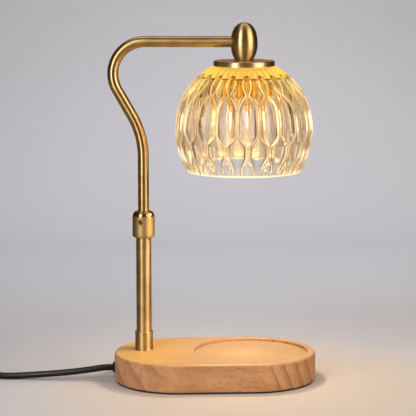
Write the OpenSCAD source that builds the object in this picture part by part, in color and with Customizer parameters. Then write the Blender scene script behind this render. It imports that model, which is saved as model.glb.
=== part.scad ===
// Candle warmer lamp: a halogen lamp in a cut-glass shade hangs over a candle that stands in a
// recess of the wooden base. The bent brass arm telescopes in the column and swings about it,
// and a rotary dimmer on the cord sets the light. Millimetres, +Z up, the table at z = 0.
// The origin is under the middle of the base, and +X runs along the base towards the candle.

/* [Base] */
// Length of the wooden base
base_l = 185; // [180:1:200]
// Width of the wooden base, which is also the diameter of its round ends
base_w = 119; // [117:1:124]
// Height of the base's top above the table
base_h = 27; // [27:0.5:32]
// Thickness of the foam pad under the wood
pad_t = 1.5; // [1:0.25:2]
// Radius of the wood's top edge
edge_r = 3; // [1.5:0.5:5]
// Diameter of the candle recess
recess_d = 104; // [96:1:106]
// Depth of the candle recess
recess_depth = 3; // [2:0.5:4]

/* [Column] */
// Column axis along the base, from its middle
col_x = -65; // [-67:1:-63]
// Column axis behind the base's centre line
col_y = 8.5; // [6:0.5:10]
// Outside diameter of the fixed lower tube
column_d = 14; // [14:0.5:15]
// Outside diameter of the foot ferrule
ferrule_d = 16.5; // [16:0.5:19]
// Height of the foot ferrule
ferrule_h = 17.5; // [12:0.5:24]
// Outside diameter of the lock collar
collar_d = 20.5; // [20:0.5:24]
// Height of the lock collar's lower edge above the table
collar_z = 132; // [126:1:136]
// Length of the lock collar with its dome
collar_h = 24.5; // [24:0.5:28]

/* [Arm] */
// Outside diameter of the bent tube
arm_d = 10; // [9.5:0.5:10]
// Wall of the bent tube
arm_wall = 1; // [0.8:0.1:1.2]
// Height of the tube's lower end inside the column
arm_foot_z = 84; // [82:1:90]
// Height at which the tube starts to lean away from the column
bend_z = 206; // [203:1:210]
// Lean of the tube's slanted stretch, in degrees
lean = 30; // [25:1:33]
// Centre-line radius of the lower bend
lower_bend_r = 75; // [60:1:80]
// Centre-line radius of the big upper bend
upper_bend_r = 29.3; // [27:0.1:32]
// Height of the level stretch's centre line
arm_z = 310.5; // [308:0.5:314]
// Distance from the column axis to the shade axis
reach = 91.5; // [88:0.5:96]

/* [Head] */
// Largest diameter of the egg-shaped housing
egg_d = 24.2; // [22:0.1:26]
// Height of the egg-shaped housing
egg_h = 37.2; // [36:0.1:39]
// Diameter of the brass disc on top of the shade
disc_d = 55.5; // [54:0.5:57]
// Thickness of the brass disc
disc_t = 5; // [5:0.5:7]

/* [Shade] */
// Largest diameter of the glass, over its ridges
shade_d = 124.6; // [120:0.2:128]
// Height of the glass's widest ring above the table
waist_z = 232; // [230:0.5:234]
// Height of the glass's lower rim above the table
rim_z = 193.3; // [190:0.1:196]
// Glass wall behind the ridges
glass_t = 4.2; // [3.8:0.1:5]
// Facets round the shade in each row
facets = 20; // [16:1:24]
// Depth of the facets' hollows
facet_depth = 1.7; // [1:0.1:2]

/* [Cord] */
// Diameter of the mains cord
cord_d = 6; // [5.5:0.1:6.5]
// Height of the cord's exit above the table
cord_z = 12.3; // [11:0.1:13]
// Diameter of the dimmer's knob
knob_d = 22; // [20:0.5:24]

/* [Hidden] */
$fn = 96;
e = 0.01; // overrun of a cut through a face
screw_gap = 0.15; // clearance round a screw in a plain hole

brass = "#b5924f";
steel = "#9a9a9a";
black = "#1d1d1f";
nylon = "#e9e6dc";
ceramic = "#efece4";

// Base, worked out from the driving sizes
recess_x = (base_l - base_w) / 2; // the recess shares its centre with the right end's arc
recess_floor = base_h - recess_depth;
cover_t = 2;
cover_gap = 0.3;
cover_l = base_l - 20;
cover_w = base_w - 27;
land = 8; // wood that the cover rests on
pocket_floor = pad_t + cover_t;
pocket_top = base_h - 10;
cover_screw_xy = [30, (cover_w - land) / 2];
ballast_l = 92;
ballast_w = 62;
ballast_t = 8;
ballast_x = 24;
nipple_d = 10;
nipple_bore = 7;
washer_t = 1.5;
nut_t = 5;
nut_af = 14;
nut_z = pocket_top - washer_t - nut_t;
tube_foot_h = 10; // threaded foot of the lower tube
clamp_at = [-51, -9, 11.5]; // where the clamp grips the lead
clamp_size = [8, 24, 11];

// Column and arm
column_bore = column_d - 2;
tube_top = collar_z + 8;
bush_z = tube_top + 0.2;
bush_h = 10;
running = 0.05; // radial clearance of a running fit
screw_turn = -109; // direction in which the collar's screw points
screw_z = collar_z + 14.6;
arm_turn = -asin(col_y / reach); // puts the shade's axis on the base's centre line

// Head, from the disc downwards
egg_z = arm_z - 1.2; // middle of the egg
disc_top = egg_z - egg_h / 2 + 2.8; // the disc cuts the egg's tip off
disc_wall = 1.5;
disc_under = disc_top - disc_wall;
cup_r = 19.2;
cup_wall = 1.2;
cup_foot = disc_under - 34;
gasket_t = 1.5;
glass_top = disc_under - gasket_t;
web_under = glass_top - 4.2; // the shade ring presses here
lip_r = 25.5;
ring_h = 5;
holder_z = disc_under - 35.8;
bulb_face = 207;
bulb_r = 25;
bulb_neck_r = 11;
bulb_neck_z = 248;
capsule_z = 231;
capsule_r = 5;
pin_gap = 10;

// Glass: two half-ellipses of one width meet at the waist
globe_up = 63.7;
globe_down = 68;
shoulder_z = disc_top - disc_t - 0.3;
cell = 180 / facets; // half the pitch of a row, in degrees
seam = 0.6; // half the width of a ridge, in degrees
shade_turn = -0.9;
leaf_top = 266; // rows of leaf-shaped facets, from the waist row outwards
leaf_high = 252.6;
leaf_low = 233.3;
leaf_foot = 221.8;
fan_top = 211.7;
fan_foot = 199;
petal_top = 282.5;
bud_top = 283.5;
run_out = 4; // height over which a row's hollows run out
rings = 24;

// Cord: points chosen by hand, from the gland to the plug
cord_r = cord_d / 2;
dimmer_at = [-262, 11];
dimmer_l = 64;
dimmer_w = 28;
dimmer_h = 17;
dimmer_axis = 5; // height of the cord in the dimmer
dimmer_wall = 2.5;
dimmer_post_x = 21;
boot_l = 20; // taper outside the dimmer
lead_route = [
    [-94.1, 0, cord_z], [-99, 0, cord_z], [-105, 0.3, 11.7], [-112, 0.7, 10.6], [-120, 1.3, 9.4],
    [-129, 2.1, 8.2], [-139, 3.2, 7], [-150, 4.6, 5.9], [-161, 6.1, 4.9], [-172, 7.6, 4],
    [-183, 8.9, 3.3], [-192, 9.9, 3.1], [-199, 10.5, 3.6], [-205, 10.9, 4.6], [-210, 11, dimmer_axis]
];
middle_route = [
    [-314, 11, dimmer_axis], [-321.3, 10.2, 4.5], [-327.2, 8, 3.8], [-332.4, 4.3, 3.3],
    [-336.6, -0.5, 3.1], [-339.4, -6.1, 3.1], [-340.9, -12.6, 3.1], [-341, -20, 3.1],
    [-339.9, -28, 3.1], [-337.4, -36, 3.1], [-333.6, -43.5, 3.1], [-328.8, -50.5, 3.1],
    [-323.3, -57, 3.1], [-316.8, -63.6, 3.1], [-310, -69.6, 3.3], [-303.7, -75.4, 3.5]
];
coil_at = [-262, -56];
coil_out = 49;
coil_in = 21.5;
coil_lift = 0.5; // the tie's strap passes under the coil
coil_h = 12.2;
tail_route = [
    [-219.85, -56, 9.6], [-219.7, -48, 9.7], [-219.2, -39, 9.9], [-218.4, -29, 10.3],
    [-217.5, -19, 10.9], [-216.5, -9, 11.6], [-215.6, 1, 12.2], [-215.2, 11, 12.4],
    [-215.2, 18, 12.1], [-216.1, 24.7, 11.3], [-218.7, 31, 10.3], [-222.8, 36.4, 9.3],
    [-228.2, 40.5, 8.3], [-234.5, 43.1, 7.5], [-241.2, 44, 7], [-246, 44, 7]
];
plug_at = [-266, 44]; // where the relief meets the plug's body
plug_axis = 7;
plug_size = [32, 21, 14];
relief_l = 20;
blade_size = [17, 1.5, 6.3];
blade_gap = 12.7;
base_lead_route = [
    [-94.1, 0, cord_z], [-88, 0, cord_z], [-82, -0.4, cord_z], [-76, -2.2, 12.2],
    [-70, -5, 12], [-64, -7.6, 11.8], [-58, -8.8, 11.6], [-52, -9, 11.5], [-46, -9, 11.5]
];
core_d = 3.4;
core_route = [
    [-46, -9, 11.5], [-41.5, -9, 11.3], [-36.5, -6.8, 9.4], [-33, -2, 7.4], [-33.5, 3, 6.8],
    [-37.5, 7, 6.4], [-44, 8.5, 6.1], [-52, 8.5, 6], [-58, 8.5, 6.1], [-62, 8.5, 6.8],
    [-64.4, 8.5, 8.8], [col_x, col_y, 12], [col_x, col_y, 20], [col_x, col_y, 34]
];

function unit(v) = v / norm(v);
function clamp01(t) = max(0, min(1, t));
function arc(cx, cy, r, from, to, n = 8) =
    [for (i = [0:n]) let (a = from + (to - from) * i / n) [cx + r * cos(a), cy + r * sin(a)]];

// A curve through hand-chosen points: n steps between each two of them
function smooth(p, n = 2) = [
    for (i = [0:len(p) - 2]) for (j = [0:n - 1])
        let (
            t = j / n,
            a = p[max(i - 1, 0)], b = p[i], c = p[i + 1], d = p[min(i + 2, len(p) - 1)]
        )
        0.5 * (2 * b + (c - a) * t + (2 * a - 5 * b + 4 * c - d) * t * t
            + (3 * b - a - 3 * c + d) * t * t * t),
    p[len(p) - 1]
];

// A round lead swept along a path. Its flats, not its corners, lie at the radius.
module lead(path, r, ref = [0, 0, 1], sides = 8) {
    n = len(path);
    corner_r = r / cos(180 / sides);
    points = [
        for (i = [0:n - 1])
            let (
                t = unit(path[min(i + 1, n - 1)] - path[max(i - 1, 0)]),
                side = unit(cross(t, ref)),
                up = cross(side, t)
            )
            for (k = [0:sides - 1])
                let (a = 360 * (k + 0.5) / sides)
                path[i] + corner_r * (cos(a) * side + sin(a) * up)
    ];
    walls = [
        for (i = [0:n - 2]) for (k = [0:sides - 1])
            let (a = i * sides + k, b = i * sides + (k + 1) % sides)
            each [[a, b, a + sides], [b, b + sides, a + sides]]
    ];
    ends = [
        [for (k = [sides - 1:-1:0]) k],
        [for (k = [0:sides - 1]) (n - 1) * sides + k]
    ];
    polyhedron(points, concat(walls, ends), convexity = 6);
}

// Outline with two round ends
module stadium(l, w) {
    for (s = [-1, 1]) translate([s * (l - w) / 2, 0]) circle(d = w);
    square([l - w, w], center = true);
}

// Half of a block's section: chamfered below, rounded above
function edge_section(half, z0, z1, round_r, chamfer) = concat(
    [[0, z0], [half - chamfer, z0], [half, z0 + chamfer]],
    arc(half - round_r, z1 - round_r, round_r, 0, 90),
    [[0, z1]]
);

// Block with round ends whose section runs all the way round
module racetrack(l, w, z0, z1, round_r, chamfer) {
    half = edge_section(w / 2, z0, z1, round_r, chamfer);
    mirrored = [for (i = [len(half) - 1:-1:0]) [-half[i][0], half[i][1]]];
    for (s = [-1, 1])
        translate([s * (l - w) / 2, 0, 0]) rotate(s > 0 ? -90 : 90)
            rotate_extrude(angle = 180) polygon(half);
    translate([-(l - w) / 2, 0, 0]) rotate([90, 0, 90])
        linear_extrude(l - w) polygon(concat(half, mirrored));
}

module tube(outer_d, bore_d, h) {
    difference() {
        cylinder(d = outer_d, h = h);
        translate([0, 0, -e]) cylinder(d = bore_d, h = h + 2 * e);
    }
}

// Screw that points up, with its head's underside at z = 0
module pan_screw(shank_d, l, head_d, head_h) {
    translate([0, 0, -head_h]) {
        cylinder(d = head_d, h = head_h);
        cylinder(d = shank_d, h = head_h + l);
    }
}

module at_cover_screws() {
    for (sx = [-1, 1]) for (sy = [-1, 1])
        translate([sx * cover_screw_xy[0], sy * cover_screw_xy[1], 0]) children();
}
module at_ballast_screws() {
    for (dx = [-15, 15]) translate([ballast_x + dx, 0, 0]) children();
}
module at_clamp_screws() {
    for (s = [-1, 1]) translate([clamp_at[0], clamp_at[1] + 8 * s, 0]) children();
}
module on_column() translate([col_x, col_y, 0]) children();
module on_arm() on_column() rotate(arm_turn) children();
module on_shade() on_arm() translate([reach, 0, 0]) children();
module along_x(x, y, z) translate([x, y, z]) rotate([0, 90, 0]) children();

// ---- Base ----

module wood_base() {
    color("#c99763") difference() {
        racetrack(base_l, base_w, pad_t, base_h, edge_r, 1);
        // candle recess with a softened mouth
        translate([recess_x, 0, 0]) rotate_extrude() polygon([
            [0, recess_floor], [recess_d / 2, recess_floor], [recess_d / 2, base_h - 0.8],
            [recess_d / 2 + 0.8, base_h + e], [0, base_h + e]
        ]);
        // rebate and pocket under the cover
        translate([0, 0, pad_t - e]) linear_extrude(cover_t + 2 * e)
            stadium(cover_l + 2 * cover_gap, cover_w + 2 * cover_gap);
        translate([0, 0, pocket_floor - e]) linear_extrude(pocket_top - pocket_floor + e)
            stadium(cover_l - 2 * land, cover_w - 2 * land);
        on_column() {
            translate([0, 0, pocket_floor - e]) cylinder(r = 12, h = pocket_top - pocket_floor + e);
            cylinder(d = nipple_d + 0.4, h = base_h + e);
        }
        // way in for the cord: gland seat, bore and trench
        along_x(-base_l / 2 - 1, 0, cord_z) cylinder(r = 5.1, h = 1.2);
        along_x(-base_l / 2 - 1, 0, cord_z) cylinder(r = 4.1, h = 9);
        along_x(-base_l / 2 + 7.9, 0, cord_z) cylinder(r = 4.6, h = 6);
        translate([-81, -11, pocket_floor]) cube([14, 17, pocket_top - pocket_floor]);
        at_cover_screws() cylinder(d = 3, h = 12);
        at_ballast_screws() cylinder(d = 4, h = 21);
        at_clamp_screws() cylinder(d = 3, h = 21);
    }
}

module base_pad() {
    color(black) linear_extrude(pad_t) stadium(base_l - 3, base_w - 3);
}

module bottom_cover() {
    color("#3a3a3c") difference() {
        translate([0, 0, pad_t]) linear_extrude(cover_t) stadium(cover_l, cover_w);
        at_cover_screws() translate([0, 0, pad_t - e]) {
            cylinder(d = 3.4, h = cover_t + 1);
            rotate_extrude() polygon([[0, 0], [3, 0], [1.7, 1.4], [0, 1.4]]);
        }
    }
}

module cover_screws() {
    color(steel) at_cover_screws() translate([0, 0, pad_t])
        rotate_extrude() polygon([[0, 0], [2.9, 0], [1.5, 1.4], [1.5, 10.5], [0, 10.5]]);
}

module ballast_plate() {
    color("#6d6f72") difference() {
        translate([ballast_x, 0, pocket_top - ballast_t]) linear_extrude(ballast_t)
            stadium(ballast_l, ballast_w);
        at_ballast_screws() cylinder(d = 4 + 2 * screw_gap, h = base_h);
    }
}

module ballast_screws() {
    color(steel) at_ballast_screws() translate([0, 0, pocket_top - ballast_t])
        pan_screw(4, 11.5, 8, 2);
}

module column_nipple() {
    color(steel) on_column() translate([0, 0, nut_z - 1])
        tube(nipple_d, nipple_bore, base_h + tube_foot_h - nut_z + 1);
}

module nipple_washer() {
    color(steel) on_column() translate([0, 0, pocket_top - washer_t])
        tube(19, nipple_d, washer_t);
}

module nipple_nut() {
    color(steel) on_column() translate([0, 0, nut_z]) difference() {
        cylinder(d = nut_af / cos(30), h = nut_t, $fn = 6);
        translate([0, 0, -e]) cylinder(d = nipple_d, h = nut_t + 2 * e);
    }
}

module foot_ferrule() {
    r = ferrule_d / 2;
    color(brass) on_column() translate([0, 0, base_h]) difference() {
        rotate_extrude() polygon([
            [0, 0], [r + 0.3, 0], [r + 0.3, 1.2], [r, 1.6], [r, ferrule_h - 2],
            [r + 0.25, ferrule_h - 1.6], [r + 0.25, ferrule_h - 0.5], [r - 0.3, ferrule_h],
            [0, ferrule_h]
        ]);
        translate([0, 0, -e]) cylinder(d = column_d, h = ferrule_h + 2 * e);
    }
}

module lower_tube() {
    color(brass) on_column() translate([0, 0, base_h]) difference() {
        cylinder(d = column_d, h = tube_top - base_h);
        translate([0, 0, -e]) cylinder(d = nipple_d, h = tube_foot_h + 2 * e);
        translate([0, 0, tube_foot_h]) cylinder(d = column_bore, h = tube_top);
    }
}

module at_collar_screw() {
    on_column() rotate(screw_turn) translate([0, 0, screw_z]) rotate([0, 90, 0]) children();
}

module lock_collar() {
    r = collar_d / 2;
    dome = 4.7;
    neck_r = arm_d / 2 + 0.5;
    color(brass) difference() {
        on_column() translate([0, 0, collar_z]) rotate_extrude() polygon(concat(
            [[0, 0], [r - 1.3, 0], [r - 0.4, 0.6], [r, 1.8], [r, collar_h - dome - 0.6],
             [r - 0.35, collar_h - dome]],
            [for (a = [15:15:90]) [
                neck_r + (r - 0.35 - neck_r) * cos(a), collar_h - dome + dome * sin(a)
            ]],
            [[0, collar_h]]
        ));
        on_column() translate([0, 0, collar_z - e])
            cylinder(d = column_d, h = tube_top - collar_z + e);
        on_column() translate([0, 0, tube_top - e])
            cylinder(d = column_d + 2 * running, h = bush_h + 0.4 + e);
        on_column() translate([0, 0, collar_z]) cylinder(d = arm_d + 0.3, h = collar_h + 1);
        at_collar_screw() {
            cylinder(d = 4, h = r + 1);
            translate([0, 0, r - 0.7]) rotate_extrude()
                polygon([[0, 0], [2, 0], [2.9, 0.9], [2.9, 2], [0, 2]]);
        }
    }
}

module collar_screw() {
    tip = column_d / 2 + 0.1;
    color("#4a4a4a") at_collar_screw() difference() {
        translate([0, 0, tip]) cylinder(d = 4, h = collar_d / 2 - 1 - tip);
        translate([0, 0, collar_d / 2 - 2.6]) cylinder(d = 2.3, h = 2, $fn = 6);
    }
}

module cord_grommet() {
    color(black) difference() {
        union() {
            along_x(-94.1, 0, cord_z) rotate_extrude()
                polygon([[0, 0], [4.3, 0], [5.1, 0.8], [5.1, 1.8], [0, 1.8]]);
            along_x(-92.4, 0, cord_z) cylinder(r = 4.1, h = 7.9);
        }
        along_x(-95, 0, cord_z) cylinder(r = cord_r + 0.3, h = 12);
    }
}

module cord_clamp() {
    color(black) difference() {
        translate([clamp_at[0], clamp_at[1], pocket_top - clamp_size[2] / 2])
            cube(clamp_size, center = true);
        along_x(clamp_at[0] - 6, clamp_at[1], clamp_at[2]) cylinder(r = cord_r + 0.3, h = 12);
        at_clamp_screws() cylinder(d = 3 + 2 * screw_gap, h = base_h);
    }
}

module clamp_screws() {
    color(steel) at_clamp_screws() translate([0, 0, pocket_top - clamp_size[2]])
        pan_screw(3, 13, 6, 1.8);
}

module base_lead() {
    color(black) lead(smooth(base_lead_route), cord_r);
}

module base_cores() {
    color("#8a5a2a") lead(smooth(core_route), core_d / 2, ref = [0.3, -0.5, 0.8]);
}

// ---- Swivel ----

module guide_bush() {
    color(nylon) on_column() translate([0, 0, bush_z])
        tube(column_d, arm_d + 2 * running, bush_h);
}

// ---- Arm ----

// Ring section that the arm's straight and bent stretches share
module arm_section() {
    difference() {
        circle(d = arm_d, $fn = 64);
        circle(d = arm_d - 2 * arm_wall, $fn = 64);
    }
}

lean_end_z = arm_z - upper_bend_r * (1 + sin(lean)); // where the upper bend starts
slant_start = [-lower_bend_r * (1 - cos(lean)), bend_z + lower_bend_r * sin(lean)];
slant_l = (lean_end_z - slant_start[1]) / cos(lean);
slant_end_x = slant_start[0] - slant_l * sin(lean);
upper_centre = [slant_end_x + upper_bend_r * cos(lean), arm_z - upper_bend_r];

module arm_tube() {
    color(brass) on_arm() {
        translate([0, 0, arm_foot_z]) linear_extrude(bend_z - arm_foot_z) arm_section();
        translate([-lower_bend_r, 0, bend_z]) rotate([90, 0, 0])
            rotate_extrude(angle = lean) translate([lower_bend_r, 0]) arm_section();
        translate([slant_start[0], 0, slant_start[1]]) rotate([0, -lean, 0])
            linear_extrude(slant_l) arm_section();
        translate([upper_centre[0], 0, upper_centre[1]]) rotate([90, -90, 0])
            rotate_extrude(angle = 90 + lean, start = 0) translate([upper_bend_r, 0]) arm_section();
        translate([upper_centre[0], 0, arm_z]) rotate([0, 90, 0])
            linear_extrude(reach - egg_d / 2 + 4 - upper_centre[0]) arm_section();
    }
}

module tube_stop() {
    color(nylon) on_arm() translate([0, 0, arm_foot_z])
        tube(column_bore - 2 * running, arm_d, 8);
}

// Centre line of the arm's tube, then down through the egg to the socket
arm_path = concat(
    [for (z = [arm_foot_z + 1:(bend_z - arm_foot_z - 1) / 4:bend_z]) [0, 0, z]],
    [for (a = [6:6:lean]) [
        -lower_bend_r * (1 - cos(a)), 0, bend_z + lower_bend_r * sin(a)
    ]],
    [for (a = [180 + lean:-12:90]) [
        upper_centre[0] + upper_bend_r * cos(a), 0, upper_centre[1] + upper_bend_r * sin(a)
    ]],
    [[reach - 50, 0, arm_z], [reach - 25, 0, arm_z], [reach - 8, 0, arm_z]],
    [for (a = [67.5:-22.5:0]) [reach - 8 + 8 * cos(a), 0, arm_z - 8 + 8 * sin(a)]],
    [[reach, 0, arm_z - 16], [reach, 0, disc_top - 2], [reach, 0, holder_z + 20.5]]
);

module arm_lead() {
    color("#d8d2c4") on_arm() lead(arm_path, 2, ref = [0, 1, 0]);
}

// ---- Head ----

egg_power = 2 / 2.25; // a little fuller than an ellipse
function egg_point(a, grow) = [
    (egg_d / 2 + grow) * pow(cos(a), egg_power),
    egg_z + (egg_h / 2 + grow) * sign(a) * pow(abs(sin(a)), egg_power)
];

module egg_housing() {
    foot_a = -asin(pow((egg_z - disc_top) / (egg_h / 2), 1 / egg_power));
    wall = 2;
    color(brass) difference() {
        on_shade() rotate_extrude() polygon(concat(
            [[0, disc_top]],
            [for (i = [0:36]) let (a = foot_a + (90 - foot_a) * i / 36) egg_point(a, 0)]
        ));
        on_shade() rotate_extrude() polygon(
            [for (a = [-90:7.5:90]) egg_point(a, -wall)]
        );
        on_shade() translate([0, 0, disc_top - e]) cylinder(d = nipple_d, h = 8);
        on_shade() translate([-egg_d / 2 - 1, 0, arm_z]) rotate([0, 90, 0])
            cylinder(d = arm_d, h = 6);
    }
}

module head_nipple() {
    color(steel) on_shade() translate([0, 0, disc_under - 8])
        tube(nipple_d, nipple_bore, disc_top - disc_under + 15);
}

module head_nut() {
    color(steel) on_shade() translate([0, 0, disc_under - cup_wall - 3.5]) difference() {
        cylinder(d = nut_af / cos(30), h = 3.5, $fn = 6);
        translate([0, 0, -e]) cylinder(d = nipple_d, h = 4);
    }
}

module shade_disc() {
    r = disc_d / 2;
    skirt = 1.2;
    foot = disc_top - disc_t;
    color(brass) on_shade() rotate_extrude() polygon([
        [nipple_d / 2, disc_under], [r - skirt, disc_under], [r - skirt, foot], [r - 0.3, foot],
        [r, foot + 0.3], [r, disc_top - 0.8], [r - 0.25, disc_top - 0.25],
        [r - 0.8, disc_top], [nipple_d / 2, disc_top]
    ]);
}

module shade_gasket() {
    color(nylon) on_shade() translate([0, 0, glass_top])
        tube(2 * lip_r - 1, 2 * cup_r + 0.6, gasket_t);
}

module socket_cup() {
    color("#c08a3c") on_shade() difference() {
        translate([0, 0, cup_foot]) cylinder(r = cup_r, h = disc_under - cup_foot);
        translate([0, 0, cup_foot - e])
            cylinder(r = cup_r - cup_wall, h = disc_under - cup_wall - cup_foot + e);
        cylinder(d = nipple_d, h = disc_top);
    }
}

module shade_ring() {
    color("#c08a3c") on_shade() translate([0, 0, web_under - ring_h]) difference() {
        rotate_extrude() polygon([
            [cup_r, 0], [cup_r + 2.6, 0], [cup_r + 3, 0.4], [cup_r + 3, 3], [cup_r + 4.3, 3.4],
            [cup_r + 4.3, ring_h], [cup_r, ring_h]
        ]);
        for (a = [0:30:330]) rotate(a) translate([cup_r + 3.6, 0, -e]) cylinder(r = 1, h = 3.2);
    }
}

module socket_ceramic() {
    color(ceramic) on_shade() difference() {
        translate([0, 0, holder_z]) union() {
            rotate_extrude() polygon([
                [0, 0], [13, 0], [14, 1], [14, 16], [cup_r - cup_wall, 16],
                [cup_r - cup_wall, 20], [0, 20]
            ]);
        }
        for (s = [-1, 1]) translate([s * pin_gap / 2, 0, holder_z - e]) cylinder(r = 2.8, h = 8.5 + e);
    }
}

module socket_contacts() {
    color(steel) on_shade() for (s = [-1, 1])
        translate([s * pin_gap / 2, 0, holder_z + 7]) cylinder(r = 2.4, h = 1.5);
}

// Radius of the glass over its ridges
function globe(z, inset) =
    let (b = (z > waist_z ? globe_up : globe_down) - inset)
    (shade_d / 2 - inset) * sqrt(max(0, 1 - pow((z - waist_z) / b, 2)));

// Half-width, in degrees, of the facets on the even meridians at a height. They are a bud under
// the neck, the long leaf at the waist and a fan at the rim, and the odd ones take the rest.
function swell(t) = sin(90 * clamp01(t));
function even_half(z) =
    z > leaf_top ? seam + 0.45 * cell * swell((z - leaf_top) / 10)
    : z > fan_top ? seam + (cell - 2 * seam)
        * min(swell((leaf_top - z) / (leaf_top - leaf_high)),
              swell((z - leaf_foot) / (leaf_low - leaf_foot)))
    : seam + 0.5 * cell * swell((fan_top - z) / (fan_top - fan_foot));

// How far a facet is hollowed at a share of its half-width. Each row runs out in arches.
function even_run(z) = clamp01((bud_top - z) / run_out) * clamp01((z - fan_top) / 2);
function odd_run(z) = clamp01((petal_top - z) / run_out) * clamp01((z - fan_foot) / run_out);
function hollow(part, run, t) = facet_depth * pow(part / cell, 0.8) * max(0, run - t * t);

// One ring of the faceted surface: the columns follow the ridges
function facet_ring(z) =
    let (
        r = globe(z, 0), w = even_half(z),
        even = [for (t = [0, 0.5]) hollow(w, even_run(z), t)],
        odd = [for (t = [0, 0.5]) hollow(cell - w, odd_run(z), t)],
        step = [
            [0, even[0]], [w / 2, even[1]], [w, 0], [(w + cell) / 2, odd[1]],
            [cell, odd[0]], [1.5 * cell - w / 2, odd[1]], [2 * cell - w, 0],
            [2 * cell - w / 2, even[1]]
        ]
    )
    [for (k = [0:facets - 1]) for (s = step)
        let (a = 2 * cell * k + s[0]) [(r - s[1]) * cos(a), (r - s[1]) * sin(a), z]];
function plain_ring(r, z) = [for (p = facet_ring(z)) [
    r * p[0] / norm([p[0], p[1]]), r * p[1] / norm([p[0], p[1]]), z
]];

module faceted_globe() {
    lip = 1.2;
    levels = concat(
        [plain_ring(globe(rim_z + lip, 0) - 1.4, rim_z)],
        [for (i = [0:rings]) facet_ring(rim_z + lip + (shoulder_z - rim_z - lip) * i / rings)]
    );
    n = len(levels[0]);
    count = len(levels);
    walls = [
        for (i = [0:count - 2]) for (k = [0:n - 1])
            let (a = i * n + k, b = i * n + (k + 1) % n)
            each [[a, a + n, b], [b, a + n, b + n]]
    ];
    ends = [[for (k = [0:n - 1]) k], [for (k = [n - 1:-1:0]) (count - 1) * n + k]];
    polyhedron([for (l = levels) each l], concat(walls, ends), convexity = 8);
}

module glass_shade() {
    inner = [for (i = [0:20]) let (z = rim_z - 1 + (web_under - rim_z + 1) * i / 20)
        [globe(z, glass_t), z]];
    color("#ffe6b8", 0.5) on_shade() difference() {
        union() {
            rotate(shade_turn - arm_turn) faceted_globe();
            translate([0, 0, shoulder_z - 1]) cylinder(r = lip_r, h = glass_top - shoulder_z + 1);
        }
        rotate_extrude() polygon(concat([[0, rim_z - 1]], inner, [[0, web_under]]));
        cylinder(r = cup_r + 0.5, h = glass_top + 1);
    }
}

// ---- Bulb ----

function reflector_r(z) =
    bulb_neck_r + (bulb_r - bulb_neck_r) * sqrt(clamp01((bulb_neck_z - z) / (bulb_neck_z - bulb_face - 4)));

module bulb_reflector() {
    wall = 1.3;
    zs = [for (i = [0:12]) bulb_face + 4 + (bulb_neck_z - bulb_face - 4) * i / 12];
    color("#f6e2b0", 0.8) on_shade() rotate_extrude() polygon(concat(
        [[bulb_r - wall, bulb_face], [bulb_r, bulb_face]],
        [for (z = zs) [reflector_r(z), z]],
        [for (i = [len(zs) - 1:-1:0]) [reflector_r(zs[i]) - wall, zs[i]]]
    ));
}

module bulb_lens() {
    color("#fff4d8", 0.7) on_shade() translate([0, 0, bulb_face + 0.4])
        cylinder(r = bulb_r - 1.35, h = 2);
}

module bulb_capsule() {
    h = bulb_neck_z - capsule_z;
    color("#fff8e0") on_shade() translate([0, 0, capsule_z]) rotate_extrude()
        polygon(concat([[0, 0]], arc(0, capsule_r, capsule_r, -75, 0), [[capsule_r, h], [0, h]]));
}

module bulb_base() {
    color(ceramic) on_shade() rotate_extrude() polygon([
        [0, bulb_neck_z], [bulb_neck_r, bulb_neck_z], [bulb_neck_r, bulb_neck_z + 3],
        [12, bulb_neck_z + 4.5], [12, holder_z - 2], [11.5, holder_z], [0, holder_z]
    ]);
}

module bulb_pins() {
    color(steel) on_shade() for (s = [-1, 1]) translate([s * pin_gap / 2, 0, holder_z]) {
        cylinder(r = 1.6, h = 7);
        translate([0, 0, 4.5]) cylinder(r = 2.4, h = 2.5);
    }
}

// ---- Cord, dimmer and plug ----

module on_dimmer() translate([dimmer_at[0], dimmer_at[1], 0]) children();

module cord_lead() {
    color(black) lead(smooth(lead_route), cord_r);
}
module cord_middle() {
    color(black) lead(smooth(middle_route), cord_r);
}
module cord_tail() {
    color(black) lead(smooth(tail_route), cord_r);
}

module dimmer_boots() {
    lip = dimmer_l / 2 - dimmer_wall;
    color(black) difference() {
        on_dimmer() for (s = [0, 180]) rotate(s)
            translate([lip, 0, dimmer_axis]) rotate([0, 90, 0]) rotate_extrude() polygon([
                [0, 0], [4.1, 0], [4.1, dimmer_wall], [4.9, dimmer_wall],
                [4.9, dimmer_wall + 1.5], [3.8, dimmer_wall + boot_l], [0, dimmer_wall + boot_l]
            ]);
        along_x(dimmer_at[0] - dimmer_l, dimmer_at[1], dimmer_axis)
            cylinder(r = cord_r, h = 2 * dimmer_l);
    }
}

// The dimmer's inside, with the ways in for the cord
module dimmer_hollow() {
    on_dimmer() translate([0, 0, 2]) linear_extrude(dimmer_h - 4)
        stadium(dimmer_l - 2 * dimmer_wall, dimmer_w - 2 * dimmer_wall);
    along_x(dimmer_at[0] - dimmer_l / 2 - 3, dimmer_at[1], dimmer_axis)
        cylinder(r = 4.1, h = dimmer_l + 6);
}
module at_dimmer_screws() {
    on_dimmer() for (s = [-1, 1]) translate([s * dimmer_post_x, 0, 0]) children();
}

module dimmer_bottom() {
    color(black) difference() {
        union() {
            difference() {
                on_dimmer() racetrack(dimmer_l, dimmer_w, 0, dimmer_axis, 0.1, 1.5);
                dimmer_hollow();
            }
            at_dimmer_screws() cylinder(d = 7, h = dimmer_axis);
        }
        at_dimmer_screws() {
            translate([0, 0, -e]) cylinder(d = 3 + 2 * screw_gap, h = dimmer_h);
            translate([0, 0, -e]) cylinder(d = 5.4, h = 2.2 + e);
        }
    }
}

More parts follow.
